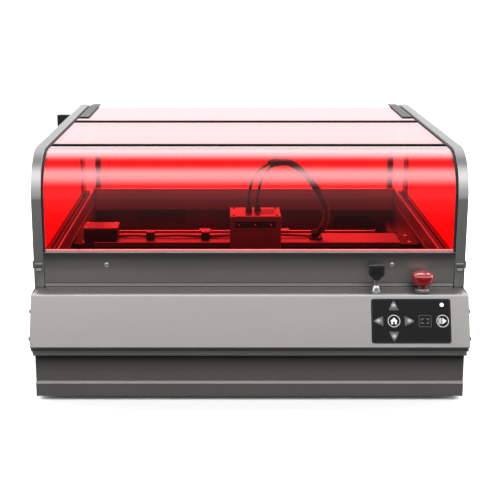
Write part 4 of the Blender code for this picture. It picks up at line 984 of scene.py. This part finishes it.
# ---------------------------------------------------------------- gantry and laser head
def gantry():
    """The beam between its end blocks, with the X motor, belt and pulley."""
    refined("gantry_beam", "anodised", 0.0007)
    low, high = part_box("gantry_beam")
    screws = Shape()
    for side in SIDES:
        name = f"gantry_end_{side}"
        refined(name, "black_plastic", 0.0004)
        end_low, end_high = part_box(name)
        x = middle(name).x
        for y in (low.y + 0.01, high.y - 0.01):
            screws.screw((x, y, end_high.z), UP, *M4_CAP)
        screws.screw((x, end_low.y, 0.1335), FRONT, *M4_CAP)
    piece(screws, "gantry_screws", "gantry", "screw_steel")
    motor("x_motor", "gantry", UP)
    toothed_belt("x_belt", "gantry")
    centre = middle("x_pulley")
    profile = [(0, 0.1498), (0.0025, 0.1498), (0.0025, 0.1407), (0.0083, 0.1407), (0.0085, 0.1405),
               (0.0085, 0.1395), (0.0061, 0.1393), (0.0061, 0.1327), (0.0085, 0.1325), (0.0085, 0.1315),
               (0, 0.1313)]
    pulley = Shape().turned(profile, (centre.x, centre.y, 0), steps=36)
    piece(pulley, "x_pulley_turned", "x_pulley", "bright_steel", ("x_pulley",), 0.0001)


CLIPS_X = (-0.147, -0.063)
WIRES_X = (-0.196, 0.104)  # where the wires leave the motor and go under the cable's anchor


def beam_wiring():
    """On the beam's top: two wires under two clips, and the anchor of the head's cable."""
    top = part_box("gantry_beam")[1].z
    clips, tops = Shape(), Shape()
    for x in CLIPS_X:
        centre = at(x, -0.021, top)
        clips.prism(rounded(0.013, 0.017, 0.002), Matrix.Translation(centre), 0.0105)
        tops.prism(rounded(0.011, 0.012, 0.0015), Matrix.Translation(centre + UP * 0.0105), 0.0012)
        tops.screw(centre + UP * 0.0117, UP, *M3)
    piece(clips, "beam_clips", "gantry", "black_plastic", bevel=0.0006)
    piece(tops, "beam_clip_tops", "gantry", "satin_silver", bevel=0.0003)
    for index, y in enumerate((-0.0165, -0.0125)):
        points = []
        for step in range(61):
            x = WIRES_X[0] + (WIRES_X[1] - WIRES_X[0]) * step / 60
            held = min(abs(x - held_x) for held_x in CLIPS_X + WIRES_X) / 0.042
            wave = 0.0022 * math.sin(x * 23 + index)
            points.append(at(x, y + wave, top + 0.0019 + 0.0016 * min(1, held)))
        piece(Shape().tube(points, 0.0014, 10), f"beam_wire_{index}", "gantry", "cable_black")
    anchor, screws = Shape(), Shape()
    centre = at(CABLE_ROUTE[-1][0], CABLE_ROUTE[-1][1], top)
    anchor.prism(rounded(0.02, 0.024, 0.003), Matrix.Translation(centre), 0.0026)
    anchor.tube([centre + Vector((-0.0065, 0, 0.0055)), centre + Vector((0.0048, 0, 0.0075))], 0.0068, 28)
    piece(anchor, "cable_anchor", "gantry", "black_plastic", bevel=0.0006)
    for y in (-0.009, 0.009):
        screws.screw(centre + Vector((0.0045, y, 0.0026)), UP, 0.0020, 0.0011)
    piece(screws, "cable_anchor_screws", "gantry", "screw_steel")


def laser_head():
    """The housing with its louvres, front window and screws, the module and the tubes' fittings."""
    refined("carriage_plate", "anodised_dark", 0.0004)
    low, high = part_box("laser_housing")
    x, y, _ = middle("laser_housing")
    louvres = Shape()
    for step in range(7):
        for sign in BOTH:
            side = x + sign * (high.x - low.x) / 2
            plane = on_plane(Vector((side - 0.004, y, low.z + 0.016 + step * 0.0065)), BACK, UP)
            louvres.prism(rounded(0.034, 0.0026, 0.0012), plane, 0.008)
    refined("laser_housing", "head_grey", 0.0004, cutter=louvres)

    def on_front(z):
        return on_plane(Vector((x, low.y, z)), RIGHT, UP)

    window = Shape().prism(rounded(0.059, 0.01, 0.0016), on_front(0.1925), 0.0007)
    piece(window, "head_window", "carriage", "black_gloss", bevel=0.0002)
    lamps = Shape()
    for dx in (-0.0235, 0, 0.0225):
        lamps.turned([(0.001, 0), (0.0009, 0.0003), (0.0006, 0.0005), (0, 0.0006)],
                     Vector((x + dx, low.y - 0.0007, 0.1922)), FRONT, 20)
    piece(lamps, "head_lamps", "carriage", "print_white")
    lines = Shape()
    for z in (0.184, 0.113):
        lines.prism(rounded(0.062, 0.0005, 0.0002, 2), on_front(z), 0.0003)
    piece(lines, "head_lines", "carriage", "black_plastic")

    screws, edge = Shape(), 0.006
    for side, sign in ((low.x, -1), (high.x, 1)):
        screws.screw((side - sign * edge, low.y, 0.1065), FRONT, 0.0022, 0.0011)
        for depth in (low.y + edge, high.y - edge):
            screws.screw((side - sign * edge, depth, high.z), UP, *M2)
        for depth, z in ((low.y + edge, 0.1965), (high.y - edge, 0.1965), (low.y + edge, 0.1065)):
            screws.screw((side, depth, z), RIGHT * sign, *M2)
    piece(screws, "head_screws", "carriage", "screw_black")
    refined("laser_module", "satin_silver", 0.0003)
    lens = [(0, 0), (0.0019, 0), (0.0019, 0.0012), (0.0012, 0.0004), (0, 0.0002)]
    piece(Shape().turned(lens, (x, y, 0.0822), -UP, 24), "laser_lens", "carriage", "black_gloss")

    fittings = Shape()
    profile = [(0, 0), (0.0052, 0), (0.0052, 0.0035), (0.0043, 0.0042), (0.0043, 0.0085), (0.0036, 0.0098),
               (0, 0.0098)]
    for foot in TUBE_FEET:
        fittings.turned(profile, at(*foot, high.z), steps=24, hexagon=(1, 2))
    piece(fittings, "tube_fittings", "carriage", "black_plastic", bevel=0.0003)


TUBE_FEET = ((0.0020, -0.0820), (0.0150, -0.0780))  # where the two tubes leave the head's top
CABLE_ROUTE = (
    (0.0090, -0.078, 0.2053), (0.0100, -0.077, 0.228), (0.0170, -0.073, 0.256),
    (0.0370, -0.067, 0.2750), (0.0640, -0.058, 0.2730), (0.0910, -0.047, 0.2490),
    (0.1120, -0.036, 0.2180), (0.1210, -0.027, 0.1900), (0.1170, -0.020, 0.1680),
    (0.1060, -0.016, 0.1558),
)
CABLE_R = 0.0055
SLEEVE_FROM = 3  # the route's point where the two tubes go into the sleeve


def smooth_path(points, steps):
    """A smooth curve through the given points, with steps points to each stretch."""
    anchors = [at(*p) for p in points]
    padded = [anchors[0] * 2 - anchors[1], *anchors, anchors[-1] * 2 - anchors[-2]]
    found = []
    for p0, p1, p2, p3 in zip(padded, padded[1:], padded[2:], padded[3:]):
        for t in (step / steps for step in range(steps)):
            found.append(0.5 * (2 * p1 + (p2 - p0) * t + (2 * p0 - 5 * p1 + 4 * p2 - p3) * t ** 2
                                + (3 * p1 - p0 - 3 * p2 + p3) * t ** 3))
    return found + [anchors[-1]]


def head_cable():
    """Two thin tubes out of the head's top, which run on inside a corrugated sleeve to the gantry beam."""
    sleeve = Shape().tube(smooth_path(CABLE_ROUTE[SLEEVE_FROM:], 24), CABLE_R, 20, ripple=0.0008)
    cuff = Shape().tube(smooth_path(CABLE_ROUTE[SLEEVE_FROM - 1:SLEEVE_FROM + 2], 16)[13:21], 0.0064, 24)
    crossing = [piece(sleeve, "cable_sleeve", None, "cable_black", ("head_cable",)),
                piece(cuff, "cable_cuff", None, "black_plastic")]
    for index, (x, y) in enumerate(TUBE_FEET):
        side = BOTH[index]
        points = [(x, y, 0.213), (x + 0.0002, y, 0.23),
                  (0.017 + side * 0.0055, -0.0745 + side * 0.002, 0.257 - side * 0.003),
                  (0.039, -0.0665, 0.2757 - side * 0.0022), (0.052, -0.063, 0.2765 - side * 0.0018)]
        tube = Shape().tube(smooth_path(points, 14), 0.0022, 14)
        crossing.append(piece(tube, f"head_tube_{index}", None, "cable_black"))
    for made in crossing:
        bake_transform(made)


# ---------------------------------------------------------------- lid
ARM_CORNER = 0.061  # radius of the arms' upper front corner
ARM_BAND = 0.020  # width of the arms seen from the side
WINDOW_BACK = 0.240  # rear end of the side windows


def arm_line(inset):
    """The lid's side outline in (Y, Z), moved inwards by inset, up to the start of its hinge end."""
    low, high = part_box("lid_arm_left")
    foot = 0.008
    front, bottom = low.y + inset, LID_BOTTOM + inset * 1.3
    line = arc((front + foot, bottom + foot), foot, 270, 180, 6)
    return line + arc((low.y + ARM_CORNER, high.z - ARM_CORNER), ARM_CORNER - inset, 180, 90, 32)


def lid_arms():
    """The two arms with dark strips of painted shade under their inner lips, window seals, front catches,
    plugs and screws.
    """
    low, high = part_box("lid_arm_right")
    inside, outside, top = low.x - MIDDLE_X, high.x - MIDDLE_X, high.z
    lip_shade_strips, seals, plugs, catches, screws = (Shape() for _ in range(5))
    plug = [(0, 0), (0.0042, 0), (0.0042, 0.0006), (0.0034, 0.001), (0, 0.001)]
    for side, sign in SIDES.items():
        # the arms' finish darkens by the direction of the face as painted reflection
        refined(f"lid_arm_{side}", "arm_silver", 0.0008, 3)
        lines = [arm_line(inset)[6:] + [(0.256, top - inset)] for inset in (0.0006, 0.0026)]
        # dark rubber strips along the arms' inner edges, where the arms' inner lip throws shade: painted
        # shade
        lip_shade_strips.band(*lines, sign * (inside - 0.0031), sign * (inside - 0.0001), closed=False)
        lines = []
        for inset, rise in ((0, 0), (0.0015, 0.0019)):
            back, band = WINDOW_BACK - inset, ARM_BAND + inset
            lines.append(arm_line(band) + [(back, top - band), (back, LID_BOTTOM + 0.026 + rise)])
        seals.band(*lines, sign * 0.2772, sign * 0.2783)
        plugs.turned(plug, at(sign * outside, -0.243, 0.199), RIGHT * sign, 28)
        x0, x1 = sign * (outside - 0.0005), sign * (outside + 0.0017)
        plugs.box(at(x0, -0.2496, 0.165), at(x1, -0.2425, 0.1752))
        x0, x1 = sign * (inside + 0.0018), sign * (outside - 0.0024)
        seals.box(at(x0, -0.2503, 0.1664), at(x1, -0.249, 0.1677))
        catches.band(*catch_lines(0.1724, 0.0016, 0.0008, 0.0002), x0, x1, closed=False)
        x0, x1 = sign * (inside + 0.0032), sign * (outside - 0.003)
        catches.band(*catch_lines(0.1656, 0.0038, 0.0017, 0.0004), x0, x1, closed=False)
        for y in (-0.1, 0.02, 0.14):
            screws.screw(at(sign * inside, y, top - 0.01), RIGHT * -sign, *M3_SMALL)
        for z in (0.18, 0.215):
            screws.screw(at(sign * (outside - 0.004), 0.251, z), RIGHT * -sign, *M3_SMALL)
    piece(lip_shade_strips, "arm_lip_shade_strips", "lid", "rubber")
    piece(seals, "side_seals", "lid", "rubber")
    piece(plugs, "arm_plugs", "lid", "satin_silver", bevel=0.0003, slot="lid_silver")
    piece(catches, "arm_catches", "lid", "trim_dim")
    piece(screws, "arm_screws", "lid", "screw_steel")


def catch_lines(top, tall, proud, lip):
    """Front and back of a catch on an arm's front face, which slopes out towards its lower edge."""
    face, back = -0.2499, -0.2490
    return [(face, top), (face - proud, top - tall)], [(back, top), (back, top - tall - lip)]


def hinges():
    """Ribbed covers over the hinges, a cap on the right and the damper on the left."""
    low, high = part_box("lid_arm_right")
    inside, outside = low.x - MIDDLE_X, high.x - MIDDLE_X
    covers, ribs = Shape(), Shape()
    for sign in BOTH:
        covers.box(at(sign * 0.2525, 0.115, 0.3171), at(sign * (inside - 0.0042), 0.29, 0.3184))
        covers.box(at(sign * 0.2546, 0.27, 0.3096), at(sign * inside, 0.283, 0.3138))
        for x in (0.2565, 0.261, 0.2655):
            ribs.box(at(sign * x - 0.0005, 0.118, 0.318), at(sign * x + 0.0005, 0.287, 0.3189))
    piece(covers, "hinge_covers", "lid", "rubber", bevel=0.0004, slot="black_plastic")
    piece(ribs, "hinge_cover_ribs", "lid", "trim_dim", bevel=0.0002)
    cap = [(0, 0), (0.0125, 0), (0.0125, 0.0004), (0.0115, 0.0009), (0.007, 0.0009), (0.0066, 0.0005),
           (0, 0.0005)]
    piece(Shape().turned(cap, at(outside, *HINGE), RIGHT, 48), "hinge_cap", "lid", "black_plastic")

    refined("hinge_damper", "black_plastic", 0.0003)
    low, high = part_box("hinge_damper")
    screws, edge = Shape(), 0.005
    for y in (low.y + edge, high.y - edge):
        for z in (low.z + edge, high.z - edge):
            screws.screw((low.x, y, z), -RIGHT, 0.0022, 0.0006)
    piece(screws, "damper_screws", "lid", "screw_steel")
    corner = (high.x - 0.002, high.y - 0.002, high.z + 0.0008)
    plate = Shape().box((low.x + 0.003, low.y + 0.002, high.z), corner)
    piece(plate, "damper_plate", "lid", "satin_silver", bevel=0.0003)


def lid_shell():
    """The front rail, the crossbars, the acrylic panels and the shield bent from one sheet."""
    # the rail's colour darkens towards its top as painted reflection
    refined("lid_rail", "anodised_rail", 0.0009, 3)
    for end in ("front", "rear"):
        refined(f"crossbar_{end}", "black_plastic", 0.0002)
        refined(f"top_panel_{end}", "acrylic")
    for side in SIDES:
        refined(f"side_panel_{side}", "acrylic_side", 0.0003)
    low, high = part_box("front_shield")
    thick, radius = 0.003, 0.059
    corner = (low.y + radius, high.z - radius)
    outer = [(low.y, low.z)] + arc(corner, radius, 180, 90, 56) + [(high.y, high.z)]
    inner = [(low.y + thick, low.z)] + arc(corner, radius - thick, 180, 90, 56) + [(high.y, high.z - thick)]
    shield = Shape().band(outer, inner, low.x - MIDDLE_X, high.x - MIDDLE_X, closed=False)
    piece(shield, "curved_shield", "lid", "acrylic", ("front_shield",), 0.0003)
    # the shield's lower edge in a lighter opaque pink, a painted highlight of the light its cut edge catches
    corner = (high.x, low.y + thick + 0.0006, low.z + 0.003)
    edge = Shape().box((low.x, low.y - 0.0012, low.z - 0.0001), corner)
    piece(edge, "shield_edge", "lid", "acrylic_edge", bevel=0.0006)

    seams = Shape()
    x0, x1 = low.x + 0.0035, high.x - 0.0035
    for y in (-0.166, 0.071):
        seams.box((x0, y - 0.0025, high.z - 0.0004), (x1, y + 0.0025, high.z + 0.0016))
    piece(seams, "seam_strips", "lid", "rubber", bevel=0.0004, slot="black_plastic")

    low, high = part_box("lid_rail")
    studs = Shape()
    stud = [(0, 0), (0.0031, 0), (0.0029, 0.0005), (0.0021, 0.0009), (0.001, 0.0011), (0, 0.0012)]
    for x in (-0.1895, 0.1895):
        studs.turned(stud, at(x, low.y, 0.17), FRONT, 32)
    piece(studs, "rail_studs", "lid", "satin_silver", slot="bare_steel")
    sill = [(-0.2506, 0.1402), (-0.2488, 0.1447), (-0.2488, 0.1452), (-0.244, 0.1452), (-0.244, 0.1402)]
    sill = Shape().across(sill, low.x - MIDDLE_X + 0.001, high.x - MIDDLE_X - 0.001)
    piece(sill, "rail_sill", "lid", "trim_dim", bevel=0.0002)


# ---------------------------------------------------------------- floor, light and camera
def floor():
    """A pale floor that only the camera sees."""
    mesh = bpy.data.meshes.new("floor")
    reach = 60.0
    corners = [(-reach, -reach, 0), (reach, -reach, 0), (reach, reach, 0), (-reach, reach, 0)]
    mesh.from_pydata(corners, [], [(0, 1, 2, 3)])
    made = placed("floor", mesh)
    material, tree, shader = new_material("floor")
    feed(tree, shader, {"Base Color": (0.80, 0.80, 0.80, 1), "Roughness": 0.9})
    mesh.materials.append(material)
    made.visible_glossy = made.visible_diffuse = False


SKY = (  # degrees up from the front horizon, over the top to the rear one at 180, and brightness
    (-180, 1.6), (-120, 0.6), (-60, 0.15), (-30, 0.05), (-20, 0.02), (-12.7, 0.02), (-12, 0.30),
    (13, 0.30), (21, 0.16), (29, 1.0), (37, 2.8), (45, 4.3), (54, 5.1), (62, 4.2), (70, 2.2), (78, 0.40),
    (88, 0.14), (95, 0.15), (102, 0.70), (110, 2.7), (119, 5.2), (127, 5.9), (135, 6.5), (143, 5.4),
    (151, 4.1), (159, 2.9), (167, 2.0), (180, 1.6),
)
SKY_PEAK = 6.5


def sky():
    """A studio of soft boxes round an axis along X: the brightness depends on the angle about that axis."""
    world = bpy.data.worlds.new("studio")
    bpy.context.scene.world = world
    world.use_nodes = True
    tree = world.node_tree
    back = tree.nodes["Background"]
    way = node(tree, "SeparateXYZ", {"Vector": node(tree, "TexCoord").outputs["Generated"]})
    forward = node(tree, "Math", {0: way.outputs["Y"], 1: -1.0}, operation="MULTIPLY")
    angle = node(tree, "Math", {0: way.outputs["Z"], 1: forward.outputs[0]}, operation="ARCTAN2")
    turn = 1 / (2 * math.pi)
    share = node(tree, "Math", {0: angle.outputs[0], 1: turn, 2: 0.5}, operation="MULTIPLY_ADD")
    stops = [(0.5 + degrees / 360, level / SKY_PEAK) for degrees, level in SKY]
    light = ramp(tree, share.outputs[0], stops)
    strength = node(tree, "Math", {0: light, 1: SKY_PEAK}, operation="MULTIPLY")
    seen = node(tree, "LightPath").outputs["Is Camera Ray"]
    final = node(tree, "Mix", {"Factor": seen, 2: strength.outputs[0], 3: 1.0}, data_type="FLOAT")
    feed(tree, back, {"Color": (1, 1, 1, 1), "Strength": final.outputs[0]})


def camera():
    data = bpy.data.cameras.new("camera")
    made = bpy.data.objects.new("camera", data)
    bpy.context.scene.collection.objects.link(made)
    data.lens = 80
    data.sensor_width = 36
    data.shift_x = 0.042
    made.location = at(-0.027, -1.6745, 0.5544)
    made.rotation_euler = (math.radians(75.66), 0, 0)
    bpy.context.scene.camera = made


def build():
    front_beam()
    control_panel()
    key_switch()
    stop_button()
    body_panels()
    chamber_trim()
    feet()
    power_inlet()
    exhaust()
    drive()
    electronics()
    hinge_posts()
    drawer()
    gantry()
    beam_wiring()
    laser_head()
    head_cable()
    lid_arms()
    hinges()
    lid_shell()
    floor()
    sky()
    camera()
    bpy.context.scene.view_settings.view_transform = "Standard"
    bpy.context.scene.cycles.transparent_max_bounces = 24


build()
bpy.context.view_layer.update()
